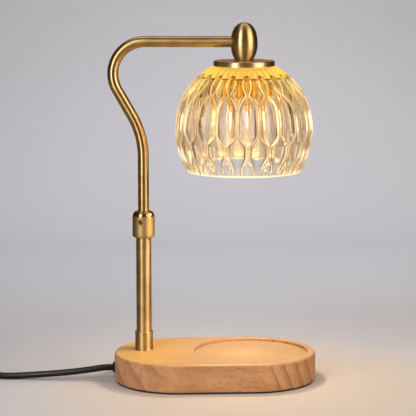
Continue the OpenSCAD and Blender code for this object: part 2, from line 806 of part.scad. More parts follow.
module dimmer_top() {
    color(black) difference() {
        union() {
            difference() {
                on_dimmer() racetrack(dimmer_l, dimmer_w, dimmer_axis, dimmer_h, 3.5, 0.1);
                dimmer_hollow();
            }
            at_dimmer_screws() translate([0, 0, dimmer_axis])
                cylinder(d = 7, h = dimmer_h - dimmer_axis - 1);
        }
        at_dimmer_screws() cylinder(d = 3 + 2 * screw_gap, h = dimmer_h - 3);
        on_dimmer() cylinder(d = 7, h = dimmer_h + 1);
    }
}

module dimmer_board() {
    color("#2f6b45") on_dimmer() difference() {
        union() {
            translate([-16, -10, 2]) cube([32, 20, 1.6]);
            translate([-8, -8, 3.6]) cube([16, 16, 7]);
            translate([-14.5, -7, 3.6]) cube([4, 14, 8]);
        }
        translate([0, 0, 6]) cylinder(d = 6.1, h = 10);
    }
}

module dimmer_screws() {
    color(steel) at_dimmer_screws() translate([0, 0, 2.2]) pan_screw(3, 11, 5.2, 1.6);
}

module cord_coil() {
    color(black) translate([coil_at[0], coil_at[1], coil_lift]) rotate_extrude() polygon([
        [coil_in + 2, 0], [coil_out - 2, 0], [coil_out, 2], [coil_out, 4.5],
        [coil_out - 3, coil_h - 1], [coil_out - 4.5, coil_h], [coil_in + 4, coil_h],
        [coil_in, 5], [coil_in, 2]
    ]);
}

module cord_tie() {
    w = 9;
    t = 0.5;
    color("#2c2c30") translate([coil_at[0], coil_at[1], 0]) rotate(-60)
        translate([coil_in - 1, w / 2, 0]) rotate([90, 0, 0]) linear_extrude(w) difference() {
            square([coil_out - coil_in + 2, coil_h + coil_lift + t]);
            translate([t, t]) square([coil_out - coil_in + 2 - 2 * t, coil_h + coil_lift - t]);
        }
}

// The plug lies along -X: its relief comes first, then its body and blades
module on_plug() translate([plug_at[0], plug_at[1], plug_axis]) rotate(180) children();

module plug_relief() {
    color(black) on_plug() along_x(-relief_l, 0, 0) rotate_extrude()
        polygon([[0, 0], [3.6, 0], [4.9, relief_l - 1.5], [4.9, relief_l], [0, relief_l]]);
}

module plug_body() {
    color(black) on_plug() rotate([90, 0, 90]) difference() {
        union() {
            linear_extrude(plug_size[0]) plug_outline(1);
            linear_extrude(6) circle(r = 6.4);
        }
        for (i = [0:2]) translate([0, 0, 8 + 5 * i]) linear_extrude(2) difference() {
            plug_outline(1.3);
            plug_outline(0.92);
        }
    }
}
module plug_outline(k) {
    w = plug_size[1] * k;
    h = plug_size[2] * k;
    r = 5 * k;
    for (sx = [-1, 1]) for (sy = [-1, 1]) translate([sx * (w / 2 - r), sy * (h / 2 - r)]) circle(r = r);
    square([w - 2 * r, h], center = true);
    square([w, h - 2 * r], center = true);
}

module plug_blades() {
    color(steel) on_plug() for (s = [-1, 1])
        translate([plug_size[0], s * blade_gap / 2, 0])
            difference() {
                translate([0, -blade_size[1] / 2, -blade_size[2] / 2]) cube(blade_size);
                translate([blade_size[0] - 5, 2, 0]) rotate([90, 0, 0]) cylinder(d = 3, h = 4);
            }
}

module dimmer_knob() {
    r = knob_d / 2;
    h = 8;
    color("#2a2a2c") on_dimmer() translate([0, 0, dimmer_h + 0.5]) difference() {
        rotate_extrude() polygon([
            [0, 0], [r, 0], [r, h - 2], [r - 0.6, h - 0.6], [r - 2, h], [0, h]
        ]);
        for (a = [0:15:345]) rotate(a) translate([r + 0.4, 0, -e]) cylinder(r = 0.9, h = h - 1.5, $fn = 16);
        translate([0, 0, -e]) cylinder(d = 6, h = 5);
    }
}

module dimmer_shaft() {
    color(steel) on_dimmer() translate([0, 0, 6.2]) cylinder(d = 6, h = dimmer_h + 5.4 - 6.2);
}

wood_base();
base_pad();
bottom_cover();
cover_screws();
ballast_plate();
ballast_screws();
column_nipple();
nipple_washer();
nipple_nut();
foot_ferrule();
lower_tube();
lock_collar();
collar_screw();
cord_grommet();
cord_clamp();
clamp_screws();
base_lead();
base_cores();
guide_bush();
arm_tube();
tube_stop();
arm_lead();
egg_housing();
head_nipple();
head_nut();
shade_disc();
shade_gasket();
socket_cup();
shade_ring();
socket_ceramic();
socket_contacts();
glass_shade();
bulb_reflector();
bulb_lens();
bulb_capsule();
bulb_base();
bulb_pins();
cord_lead();
dimmer_boots();
dimmer_bottom();
dimmer_top();
dimmer_board();
dimmer_screws();
cord_middle();
cord_coil();
cord_tie();
cord_tail();
plug_relief();
plug_body();
plug_blades();
dimmer_knob();
dimmer_shaft();
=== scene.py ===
# %% [markdown]
# # A candle warmer lamp
# The lamp melts a candle from above: a halogen reflector bulb hangs in a cut-glass shade at the
# end of a bent brass arm, and the candle stands in a round recess of the wooden base. The
# construction comes from a CAD frame, in metres, with the table at z = 0 and +X running along
# the base towards the candle. This notebook gives it its finishes, remakes the glass and the
# cord at the quality that a picture needs, and lights it.

# %% Load the frame
import math

import bmesh
import bpy
import numpy as np
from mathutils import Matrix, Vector

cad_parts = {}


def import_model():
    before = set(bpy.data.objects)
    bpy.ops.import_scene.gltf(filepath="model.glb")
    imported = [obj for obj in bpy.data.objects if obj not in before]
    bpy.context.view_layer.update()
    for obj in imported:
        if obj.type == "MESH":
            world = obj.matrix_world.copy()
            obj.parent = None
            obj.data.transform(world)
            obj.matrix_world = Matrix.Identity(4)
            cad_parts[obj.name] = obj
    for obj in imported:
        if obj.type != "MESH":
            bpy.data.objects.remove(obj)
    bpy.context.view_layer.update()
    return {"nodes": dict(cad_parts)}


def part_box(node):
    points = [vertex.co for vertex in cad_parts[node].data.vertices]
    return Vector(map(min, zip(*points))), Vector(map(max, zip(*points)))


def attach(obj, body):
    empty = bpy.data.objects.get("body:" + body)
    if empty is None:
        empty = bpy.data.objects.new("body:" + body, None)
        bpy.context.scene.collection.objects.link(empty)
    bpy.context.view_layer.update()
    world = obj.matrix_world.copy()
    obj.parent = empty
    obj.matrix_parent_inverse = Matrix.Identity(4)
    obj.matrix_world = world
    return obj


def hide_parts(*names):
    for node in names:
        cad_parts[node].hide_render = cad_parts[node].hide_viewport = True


MM = 0.001
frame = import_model()

# %% [markdown]
# ## The camera
# A product picture is taken from a little above with a long lens, which keeps the column and
# the shade upright. The camera's place is given from the base's middle, and it looks at a point
# halfway up the lamp.

# %% Camera
def new_object(name, data):
    made = bpy.data.objects.new(name, data)
    bpy.context.collection.objects.link(made)
    return made


def aimed(name, data, place_of, target):
    """A camera or a light at a place, turned to its target."""
    made = new_object(name, data)
    made.location = place_of
    made.rotation_euler = (target - place_of).to_track_quat("-Z", "Y").to_euler()
    return made


CAMERA_PLACE = Vector((-96.6, -1660.2, 402.8)) * MM
CAMERA_TARGET = Vector((-6.45, 0.35, 159.46)) * MM
camera_data = bpy.data.cameras.new("camera")
camera_data.lens = 159.65
camera_data.sensor_width = 36
camera_data.clip_start = 0.05
bpy.context.scene.camera = aimed("camera", camera_data, CAMERA_PLACE, CAMERA_TARGET)
print("camera", round((CAMERA_TARGET - CAMERA_PLACE).length, 3), "m from its target")

# %% [markdown]
# ## The cord
# The mains cord leaves the base through a rubber gland, sags to the table and runs to an in-line
# dimmer. The rest is wound into a coil that a hook-and-loop tie holds, with the plug beside it.
# A curve with a round bevel is the natural tool: its points are the route, and its bevel is the
# rubber. The routes' points are listed, and the coil's are worked out by a loop.

# %% Routes
CORD_D = 6.0
EXIT = (-94.1, 0, 12.3)
LEAD_ROUTE = [
    EXIT, (-99, 0, 12.3), (-105, 0.3, 11.7), (-112, 0.7, 10.6), (-120, 1.3, 9.4),
    (-129, 2.1, 8.2), (-139, 3.2, 7), (-150, 4.6, 5.9), (-161, 6.1, 4.9), (-172, 7.6, 4),
    (-183, 8.9, 3.3), (-192, 9.9, 3.1), (-199, 10.5, 3.6), (-205, 10.9, 4.6), (-210, 11, 5),
]
MIDDLE_ROUTE = [
    (-314, 11, 5), (-321.3, 10.2, 4.5), (-327.2, 8, 3.8), (-332.4, 4.3, 3.3),
    (-336.6, -0.5, 3.1), (-339.4, -6.1, 3.1), (-340.9, -12.6, 3.1), (-341, -20, 3.1),
    (-339.9, -28, 3.1), (-337.4, -36, 3.1), (-333.6, -43.5, 3.1), (-328.8, -50.5, 3.1),
    (-323.3, -57, 3.1), (-316.8, -63.6, 3.1), (-310, -69.6, 3.3),
]
TAIL_ROUTE = [
    (-219.7, -48, 9.7), (-219.2, -39, 9.9), (-218.4, -29, 10.3), (-217.5, -19, 10.9),
    (-216.5, -9, 11.6), (-215.6, 1, 12.2), (-215.2, 11, 12.4), (-215.2, 18, 12.1),
    (-216.1, 24.7, 11.3), (-218.7, 31, 10.3), (-222.8, 36.4, 9.3), (-228.2, 40.5, 8.3),
    (-234.5, 43.1, 7.5), (-241.2, 44, 7), (-246, 44, 7),
]
COIL_AT = (-262, -56)
COIL_LOW, COIL_HIGH = 3.5, 9.6
COIL_OUTER, COIL_INNER = 46.0, 24.5
COIL_PITCH = 6.25
COIL_START, COIL_END = 205, 0  # degrees, as the next two
INNER_TURN, CLIMB_TURN = 60, 120
TOP_TURNS = 2


def coil_points(steps=24):
    """A spiral in to the inner turn, a climb on that turn, and a spiral out on top."""
    climb_from = COIL_START + 360 * (COIL_OUTER - COIL_INNER) / COIL_PITCH
    out_from = climb_from + INNER_TURN
    turns_out = TOP_TURNS + ((COIL_END - out_from) % 360) / 360
    last = out_from + 360 * turns_out
    count = math.ceil((last - COIL_START) / 360 * steps)
    points = []
    for i in range(count + 1):
        angle = COIL_START + (last - COIL_START) * i / count
        inward = COIL_OUTER - COIL_PITCH * (angle - COIL_START) / 360
        outward = COIL_INNER + COIL_PITCH * max(0, angle - out_from) / 360
        radius = max(inward, COIL_INNER) if angle < climb_from else outward
        rise = min(1, max(0, (angle - climb_from) / CLIMB_TURN))
        height = COIL_LOW + (COIL_HIGH - COIL_LOW) * rise * rise * (3 - 2 * rise)
        turn = math.radians(angle)
        points.append((
            COIL_AT[0] + radius * math.cos(turn), COIL_AT[1] + radius * math.sin(turn), height
        ))
    return points


print("coil has", len(coil_points()), "points")

# %% [markdown]
# A spline through few points needs smoothing. Catmull-Rom passes through every point, so the
# cord stays exactly on its route, and the same few lines serve the lead and the coil.

# %% Cords
def smooth(points, steps=4):
    """Points of a Catmull-Rom curve through the given ones."""
    p = [np.array(q, float) for q in points]
    p = [2 * p[0] - p[1], *p, 2 * p[-1] - p[-2]]
    out = []
    for a, b, c, d in zip(p, p[1:], p[2:], p[3:]):
        for j in range(steps):
            t = j / steps
            out.append(0.5 * (
                2 * b + (c - a) * t + (2 * a - 5 * b + 4 * c - d) * t**2
                + (3 * b - a - 3 * c + d) * t**3
            ))
    return np.array([*out, p[-2]])


def length_of(points):
    return float(np.linalg.norm(np.diff(points, axis=0), axis=1).sum())


def cord_curve(name, points):
    """A curve of one spline with a round bevel, and its length in metres."""
    data = bpy.data.curves.new(name, "CURVE")
    data.dimensions = "3D"
    data.bevel_depth = 1.0  # times each point's radius
    data.bevel_resolution = 4
    data.use_fill_caps = True
    spline = data.splines.new("POLY")
    spline.points.add(len(points) - 1)
    for point, place in zip(spline.points, points):
        point.co = (*(place * MM), 1)
        point.radius = CORD_D / 2 * MM
    spline.use_smooth = True
    return new_object(name, data), length_of(points) * MM


lead, lead_length = cord_curve("cord_lead_rubber", smooth(LEAD_ROUTE))
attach(lead, "base")
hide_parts("cord_lead")
rest_points = smooth([*MIDDLE_ROUTE, *coil_points(), *TAIL_ROUTE], 2)
rest, rest_length = cord_curve("cord_coil_rubber", rest_points)
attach(rest, "base")
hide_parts("cord_middle", "cord_coil", "cord_tail")
print(f"cord: {lead_length:.3f} m to the dimmer and {rest_length:.3f} m on to the plug")

# %% [markdown]
# ## Finishes
# Every finish is a small tree of nodes. The class below only shortens the calls that add a node
# and join two sockets. Patterns read Object coordinates, which are metres in the lamp's frame.

# %% A short hand for nodes
DARK = (0, 0, 0, 1)


class Graph:
    """Adds nodes to a tree and joins their sockets. A value is a socket or a number."""

    def __init__(self, tree):
        self.tree = tree

    def add(self, kind, inputs=None, **settings):
        node = self.tree.nodes.new(kind)
        for key, value in settings.items():
            setattr(node, key, value)
        for key, value in (inputs or {}).items():
            self.put(node.inputs[key], value)
        return node

    def put(self, socket, value):
        if isinstance(value, bpy.types.NodeSocket):
            self.tree.links.new(value, socket)
        else:
            socket.default_value = value

    def math(self, operation, a, b=0.0, clamp=False):
        node = self.add(
            "ShaderNodeMath", operation=operation, use_clamp=clamp, inputs={0: a, 1: b})
        return node.outputs[0]

    def plus(self, a, b):
        return self.math("ADD", a, b)

    def less(self, a, b):
        return self.math("SUBTRACT", a, b)

    def times(self, product, *factors):
        for factor in factors:
            product = self.math("MULTIPLY", product, factor)
        return product

    def flip(self, mask):
        return self.math("SUBTRACT", 1.0, mask)

    def mix(self, factor, a, b, blend="MIX"):
        """A colour between two, or two colours blended."""
        node = self.add(
            "ShaderNodeMix", data_type="RGBA", blend_type=blend, inputs={0: factor, 6: a, 7: b})
        return node.outputs[2]

    def between(self, factor, a, b):
        """A number between two."""
        node = self.add("ShaderNodeMix", data_type="FLOAT", inputs={0: factor, 2: a, 3: b})
        return node.outputs[0]

    def paint(self, colour, *layers):
        """Lays colours over one another, each given as a mask and a colour."""
        for mask, over in layers:
            colour = self.mix(mask, colour, over)
        return colour

    def lighten(self, light, *layers):
        """Adds lights, each given as a mask and a colour."""
        for mask, colour in layers:
            light = self.mix(1.0, light, self.mix(mask, DARK, (*colour, 1)), "ADD")
        return light

    def range(self, value, low, high, to_low=0.0, to_high=1.0, smooth=True):
        """A value's way from low to high, turned into a way between two others."""
        return self.add(
            "ShaderNodeMapRange", interpolation_type="SMOOTHSTEP" if smooth else "LINEAR",
            inputs={"Value": value, "From Min": low, "From Max": high, "To Min": to_low,
                    "To Max": to_high},
        ).outputs["Result"]

    def window(self, value, rise, full, fall, gone):
        """Rises from 0 to 1 between the first two values, and falls between the last two."""
        return self.times(self.range(value, rise, full), self.range(value, fall, gone, 1.0, 0.0))

    def xyz(self, output="Object"):
        """The three parts of the place on the object, or of its normal."""
        source = self.add("ShaderNodeTexCoord").outputs[output]
        return self.add("ShaderNodeSeparateXYZ", inputs={"Vector": source}).outputs

    def vector(self, **parts):
        return self.add("ShaderNodeCombineXYZ", inputs=parts).outputs[0]

    def place(self, scale=(1, 1, 1)):
        """Object coordinates, stretched."""
        source = self.add("ShaderNodeTexCoord").outputs["Object"]
        return self.add(
            "ShaderNodeMapping", inputs={"Vector": source, "Scale": scale}).outputs["Vector"]

    def noise(self, vector, scale, detail=2.0, roughness=0.5):
        return self.add(
            "ShaderNodeTexNoise",
            inputs={"Vector": vector, "Scale": scale, "Detail": detail, "Roughness": roughness},
        ).outputs["Fac"]

    def bump(self, height, distance):
        return self.add(
            "ShaderNodeBump", inputs={"Height": height, "Distance": distance}).outputs["Normal"]

    def facing(self):
        """0 where the surface faces the eye, and 1 at its outline."""
        return self.add("ShaderNodeLayerWeight", inputs={"Blend": 0.5}).outputs["Facing"]

    def feed(self, node, **inputs):
        """Feeds a node's inputs, with underscores for the spaces in their names."""
        for name, value in inputs.items():
            self.put(node.inputs[name.replace("_", " ")], value)

    def group(self, tree, **inputs):
        node = self.add("ShaderNodeGroup", node_tree=tree)
        self.feed(node, **inputs)
        return node.outputs


def rgb(r, g, b):
    """A colour as eight-bit display values, in the linear light that nodes use."""
    def linear(v):
        v /= 255
        return v / 12.92 if v <= 0.04045 else ((v + 0.055) / 1.055) ** 2.4
    return (linear(r), linear(g), linear(b), 1.0)


def new_material(name):
    """A material with one Principled shader, its graph and the shader node."""
    made = bpy.data.materials.new(name)
    made.use_nodes = True
    made.node_tree.nodes.clear()
    graph = Graph(made.node_tree)
    shader = graph.add("ShaderNodeBsdfPrincipled")
    output = graph.add("ShaderNodeOutputMaterial")
    graph.put(output.inputs["Surface"], shader.outputs["BSDF"])
    return made, graph, shader


def opened(made):
    """A material's graph and its principled shader."""
    graph = Graph(made.node_tree)
    return graph, next(node for node in graph.tree.nodes if node.type == "BSDF_PRINCIPLED")


def before(socket):
    """The socket that feeds this one."""
    return socket.links[0].from_socket


def cross_over(graph, shader, factor, other):
    """Ends the material in a mix of its shader and another one."""
    mixed = graph.add("ShaderNodeMixShader")
    for socket, value in zip(mixed.inputs, (factor, shader.outputs["BSDF"], other.outputs["BSDF"])):
        graph.put(socket, value)
    output = next(node for node in graph.tree.nodes if node.type == "OUTPUT_MATERIAL")
    graph.put(output.inputs["Surface"], mixed.outputs["Shader"])


def finish(obj, made):
    """Gives every slot of an object the material."""
    if not obj.data.materials:
        obj.data.materials.append(made)
    for place in obj.material_slots:
        place.material = made


# %% [markdown]
# ### Groups that several finishes share
# A node group is built once and placed in many materials with its own values. "fine_brushing"
# stretches noise into hairlines, as a polishing belt leaves on metal, and "soft_variation" gives
# the slow drift of tone and gloss that every real surface has.

# %% Shader groups
def new_group(name, inputs, outputs):
    """An empty shader group with named sockets: (name, kind, default)."""
    tree = bpy.data.node_groups.new(name, "ShaderNodeTree")
    for label, kind, value in inputs:
        socket = tree.interface.new_socket(label, in_out="INPUT", socket_type=kind)
        if value is not None:
            socket.default_value = value
    for label, kind in outputs:
        tree.interface.new_socket(label, in_out="OUTPUT", socket_type=kind)
    graph = Graph(tree)
    return tree, graph, graph.add("NodeGroupInput").outputs, graph.add("NodeGroupOutput").inputs


FLOAT, VECTOR, COLOR = "NodeSocketFloat", "NodeSocketVector", "NodeSocketColor"

brushing, g, given, out = new_group(
    "fine_brushing",
    [("Vector", VECTOR, None), ("Scale", FLOAT, 900.0), ("Smooth", FLOAT, 0.24),
     ("Rough", FLOAT, 0.34)],
    [("Height", FLOAT), ("Roughness", FLOAT)],
)
DRIFT = 0.1  # its scale, as a share of the hairlines'
lines = g.noise(given["Vector"], given["Scale"], 3.0, 0.6)
drift = g.noise(given["Vector"], g.times(given["Scale"], DRIFT), 1.0)
both = g.plus(g.times(lines, 0.5), g.times(drift, 0.5))
g.put(out["Height"], lines)
g.put(out["Roughness"], g.range(both, 0.3, 0.7, given["Smooth"], given["Rough"], smooth=False))

variation, g, given, out = new_group(
    "soft_variation",
    [("Vector", VECTOR, None), ("Scale", FLOAT, 40.0), ("Color A", COLOR, (0, 0, 0, 1)),
     ("Color B", COLOR, (1, 1, 1, 1)), ("Smooth", FLOAT, 0.4), ("Rough", FLOAT, 0.5)],
    [("Color", COLOR), ("Roughness", FLOAT)],
)
cloud = g.noise(given["Vector"], given["Scale"], 3.0)
g.put(out["Color"], g.mix(g.range(cloud, 0.35, 0.65), given["Color A"], given["Color B"]))
g.put(out["Roughness"], g.range(cloud, 0.35, 0.65, given["Smooth"], given["Rough"], smooth=False))
print("groups:", [tree.name for tree in (brushing, variation)])

# %% [markdown]
# ### Satin brass
# The tubes, the egg, the disc and the collar are brass, turned and polished round and round,
# then lacquered. Such a finish is smooth around the piece and rough along its axis, so it draws
# every light out along the axis: the shader's anisotropy does this when its tangent is the
# axis. The arm bends, so its axis is worked out from the place on it: upright, leaning back,
# round the big bend, then level. A texture painted on the tube could do the same, but this
# stays exact at any size. The column and the collar carry fine lines along their height, and
# the collar ends in a polished dome with a dark edge.

# %% Brass
BRASS_DEEP = rgb(190, 158, 104)
BRASS_PALE = rgb(206, 178, 126)
COLUMN_X, COLUMN_Y, REACH = -65.0, 8.5, 91.5
BEND_Z, LEAN, LOWER_BEND, BIG_BEND, ARM_Z = 206.0, 30.0, 75.0, 29.3, 310.5
DOME_Z = 151.8
HAIRLINES, HAIRLINE_DEPTH = 900.0, 0.0000008
POLISHED = 0.22
ARM_TURN = -math.asin(COLUMN_Y / REACH)
lean = math.radians(LEAN)
slant_x = -LOWER_BEND * (1 - math.cos(lean))
slant_z = BEND_Z + LOWER_BEND * math.sin(lean)
bend_from_z = ARM_Z - BIG_BEND * (1 + math.sin(lean))
BEND_X = slant_x - (bend_from_z - slant_z) * math.tan(lean) + BIG_BEND * math.cos(lean)


def arm_axis(graph):
    """Direction of the arm's tube at each place on it."""
    x, y, z = graph.xyz()
    along = graph.plus(
        graph.times(graph.less(x, COLUMN_X * MM), math.cos(ARM_TURN)),
        graph.times(graph.less(y, COLUMN_Y * MM), math.sin(ARM_TURN)))
    tilt = graph.range(z, BEND_Z * MM, slant_z * MM, 0.0, lean, smooth=False)
    past = graph.math("MINIMUM", graph.less(along, BEND_X * MM), 0.0)
    above = graph.less(z, (ARM_Z - BIG_BEND) * MM)
    in_bend = graph.math("GREATER_THAN", z, bend_from_z * MM)
    out = graph.between(
        in_bend, graph.times(graph.math("SINE", tilt), -1.0),
        graph.math("DIVIDE", above, BIG_BEND * MM))
    up = graph.between(
        in_bend, graph.math("COSINE", tilt), graph.math("DIVIDE", past, -BIG_BEND * MM))
    axis = graph.vector(
        X=graph.times(out, math.cos(ARM_TURN)), Y=graph.times(out, math.sin(ARM_TURN)), Z=up)
    return graph.add(
        "ShaderNodeVectorTransform", vector_type="VECTOR", convert_from="OBJECT",
        convert_to="WORLD", inputs={"Vector": axis}).outputs[0]


def upright(graph):
    return graph.vector(Z=1.0)


def brass(name, stretch, smooth_at, rough_at, anisotropy, tones=(BRASS_DEEP, BRASS_PALE),
          axis=upright):
    """Brass with a drift of tone, fine lines along its stretched axes, and highlights that are
    drawn out along its axis."""
    made, graph, shader = new_material(name)
    lines = graph.group(
        brushing, Vector=graph.place(stretch), Scale=HAIRLINES, Smooth=smooth_at, Rough=rough_at)
    tone = graph.group(
        variation, Vector=graph.place(), Scale=60.0, Color_A=tones[0], Color_B=tones[1])
    graph.feed(
        shader, Metallic=1.0, Anisotropic=anisotropy, Tangent=axis(graph),
        Base_Color=tone["Color"], Roughness=lines["Roughness"],
        Normal=graph.bump(lines["Height"], HAIRLINE_DEPTH))
    return made


ROUND = (0.1, 0.1, 1)  # lines round the piece
LENGTHWISE = (1, 1, 0.05)
arm_brass = brass("arm_brass", (0.3, 0.3, 0.3), 0.28, 0.33, 0.8, axis=arm_axis)
turned_brass = brass("turned_brass", ROUND, 0.34, 0.40, 0.8)
disc_brass = brass(
    "disc_brass", (0.3, 0.3, 1), 0.32, 0.38, 0.7, (rgb(206, 180, 140), rgb(222, 198, 160)))
column_brass = brass(
    "column_brass", LENGTHWISE, 0.42, 0.5, 0.75, (rgb(194, 164, 112), rgb(212, 184, 134)))
collar_brass = brass("collar_brass", LENGTHWISE, 0.5, 0.6, 0.5)
g, shader = opened(collar_brass)
collar_z = g.xyz()["Z"]
dome = g.range(collar_z, (DOME_Z - 0.3) * MM, DOME_Z * MM)
edge = g.times(dome, g.range(collar_z, DOME_Z * MM, (DOME_Z + 0.5) * MM, 1.0, 0.0))
g.feed(
    shader, Roughness=g.between(dome, before(shader.inputs["Roughness"]), POLISHED),
    Base_Color=g.mix(g.times(edge, 0.6), before(shader.inputs["Base Color"]), rgb(96, 66, 34)))
for node, made in (
    ("arm_tube", arm_brass), ("egg_housing", turned_brass), ("shade_disc", disc_brass),
    ("lower_tube", column_brass), ("foot_ferrule", column_brass), ("lock_collar", collar_brass),
):
    finish(frame["nodes"][node], made)
print("brass on the tubes, the egg, the disc and the collar; big bend at", round(BEND_X, 2), "mm")

# %% [markdown]
# ### Other metals, plastics and small parts
# Inside the shade the cup and its ring are brass-plated, and a painted glow down their middle,
# broken by the threads, stands in for the bulb's light on them. Screws and plates are plain steel.
# One function makes the plain metals, the plastics, the rubber and the foam, which differ only in
# their numbers.

# %% Plated brass, steel and small parts
THREAD_PITCH = 0.0024
plated, g, shader = new_material("plated_brass")
tone = g.group(
    variation, Vector=g.place(), Scale=90.0, Color_A=rgb(184, 120, 24),
    Color_B=rgb(204, 146, 40), Smooth=0.35, Rough=0.45)
threads = g.math("SINE", g.times(g.xyz()["Z"], 2 * math.pi / THREAD_PITCH))
# Painted highlight: the glow down the middle, where the surface faces the eye, is the bulb's light
# painted on the brass.
middle = g.math("POWER", g.flip(g.facing()), 50.0)
middle = g.times(middle, g.range(threads, -1.0, 1.0, 0.45, 1.0))
g.feed(
    shader, Metallic=1.0, Base_Color=tone["Color"], Roughness=tone["Roughness"],
    Emission_Color=g.mix(middle, (0.03, 0.018, 0.0, 1), (0.92, 0.6, 0.01, 1)),
    Emission_Strength=1.0)


def grained(name, dark, light, smooth_at, rough_at, grain_size, grain_depth, scale=80.0,
            metallic=0.0):
    """A slow drift of tone and gloss, and the fine grain of the mould or the mill. Colours are
    display values, and sizes are metres."""
    made, graph, principled = new_material(name)
    drift_of = graph.group(
        variation, Vector=graph.place(), Scale=scale, Color_A=rgb(*dark), Color_B=rgb(*light),
        Smooth=smooth_at, Rough=rough_at)
    grain = graph.noise(graph.place(), 1 / grain_size)
    graph.feed(
        principled, Metallic=metallic, Base_Color=drift_of["Color"],
        Roughness=drift_of["Roughness"], Normal=graph.bump(grain, grain_depth))
    return made


MILLED = (0.0004, 0.00001, 120.0, 1.0)  # the grain's size and depth, the drift's scale, metallic
BLACK_PLASTIC = ((19, 19, 20), (27, 27, 28), 0.34, 0.46, 0.0007, 0.00002)
GRAINED = {name: grained(name, *numbers) for name, *numbers in (
    ("bright_steel", (150, 152, 155), (184, 186, 188), 0.24, 0.4, *MILLED),
    ("painted_steel", (52, 53, 56), (66, 67, 70), 0.42, 0.55, *MILLED),
    ("screw_brass", (96, 66, 30), (128, 92, 46), 0.4, 0.55, *MILLED),
    ("black_rubber", (9, 9, 11), (15, 15, 17), 0.24, 0.34, 0.0012, 0.00002),
    ("foam_pad", (24, 23, 22), (40, 38, 36), 0.85, 0.95, 0.0006, 0.0002),
    ("nylon", (222, 218, 208), (236, 233, 226), 0.35, 0.5, 0.0015, 0.00001),
    ("core_sleeve", (96, 58, 24), (124, 78, 36), 0.5, 0.65, 0.0008, 0.00003),
    ("circuit_board", (26, 84, 50), (34, 104, 62), 0.3, 0.45, 0.0012, 0.00001),
    ("black_plastic", *BLACK_PLASTIC),
)}
print("metals and plastics:", sorted(GRAINED))

# %% [markdown]
# The dimmer's knob is the same plastic as its case. A pale line is let into its top, from
# halfway out to near the edge, and shows how far the knob is turned.

# %% Knob
LINE_W, LINE_SOFT, LINE_FROM, LINE_TO, LINE_DEEP = 1.2, 0.12, 3.5, 8.6, 0.3
knob_plastic = grained("knob_plastic", *BLACK_PLASTIC)
g, shader = opened(knob_plastic)
knob_low, knob_high = (Vector(corner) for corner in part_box("dimmer_knob"))
knob_at = (knob_low + knob_high) / 2
x, y, z = g.xyz()
aside = g.math("ABSOLUTE", g.less(x, knob_at.x))
out = g.less(knob_at.y, y)
mark = g.times(
    g.range(aside, (LINE_W / 2 - LINE_SOFT) * MM, LINE_W / 2 * MM, 1.0, 0.0),
    g.math("GREATER_THAN", out, LINE_FROM * MM), g.math("LESS_THAN", out, LINE_TO * MM),
    g.math("GREATER_THAN", z, knob_high.z - LINE_DEEP * MM))
g.feed(shader, Base_Color=g.mix(mark, before(shader.inputs["Base Color"]), rgb(226, 224, 218)))
print("knob's line is", LINE_TO - LINE_FROM, "mm long")

# %% [markdown]
# The tie round the coil is hook-and-loop tape, whose back is a fine twill. A slanting wave makes
# the twill, and a noise roughens it.

# %% Tie
tie_cloth, g, shader = new_material("tie_fabric")
warp = g.add("ShaderNodeTexWave", bands_direction="DIAGONAL", inputs={
    "Vector": g.place(), "Scale": 420.0, "Distortion": 0.6,
}).outputs["Fac"]
fuzz = g.noise(g.place(), 1800.0)
weave = g.plus(g.times(warp, 0.7), g.times(fuzz, 0.3))
g.feed(
    shader, Base_Color=g.mix(weave, rgb(16, 16, 18), rgb(44, 44, 48)),
    Roughness=g.range(weave, 0.0, 1.0, 0.95, 0.75), Normal=g.bump(weave, 0.0003))
print("tie's twill ready")

# %% [markdown]
# Each small node gets its finish from one table, and so do the two rubber cords.

# %% Small nodes
FINISHES = {
    plated: ("socket_cup", "shade_ring"),
    tie_cloth: ("cord_tie",),
    knob_plastic: ("dimmer_knob",),
    GRAINED["bright_steel"]: (
        "cover_screws", "ballast_plate", "ballast_screws", "column_nipple", "nipple_washer",
        "nipple_nut", "clamp_screws", "head_nipple", "head_nut", "socket_contacts",
        "bulb_pins", "dimmer_screws", "plug_blades"),
    GRAINED["painted_steel"]: ("bottom_cover",),
    GRAINED["screw_brass"]: ("collar_screw",),
    GRAINED["foam_pad"]: ("base_pad",),
    GRAINED["circuit_board"]: ("dimmer_board",),
    GRAINED["core_sleeve"]: ("base_cores",),
    GRAINED["nylon"]: ("guide_bush", "tube_stop", "shade_gasket", "dimmer_shaft"),
    GRAINED["black_plastic"]: ("cord_clamp", "dimmer_bottom", "dimmer_top", "plug_body"),
    GRAINED["black_rubber"]: (
        "cord_grommet", "base_lead", "arm_lead", "dimmer_boots", "plug_relief"),
}
for made, nodes in FINISHES.items():
    for node in nodes:
        finish(frame["nodes"][node], made)
for piece in (lead, rest):
    finish(piece, GRAINED["black_rubber"])
print(sum(map(len, FINISHES.values())), "small nodes finished")

# %% [markdown]
# ### Beech
# The base is milled from a wide-ringed beech plank that was cut askew to its growth rings. So
# the long front shows one slanting ring and a scatter of short dark flecks, and the round ends
# cut the rings steeply and show them as red-brown lines. The rings are the level lines of one
# field: height and a slope along the plank, a steep rise past a point on the right, and a fall
# that grows past a point on the left. On top the plank shows only its fibres. Painted light lies
# over the wood: the top is paler than the sides, with a painted warm pool of the lamp's light at
# its left end, and the sides get painted light towards the left end and painted shade, darker
# and redder, towards the right end.

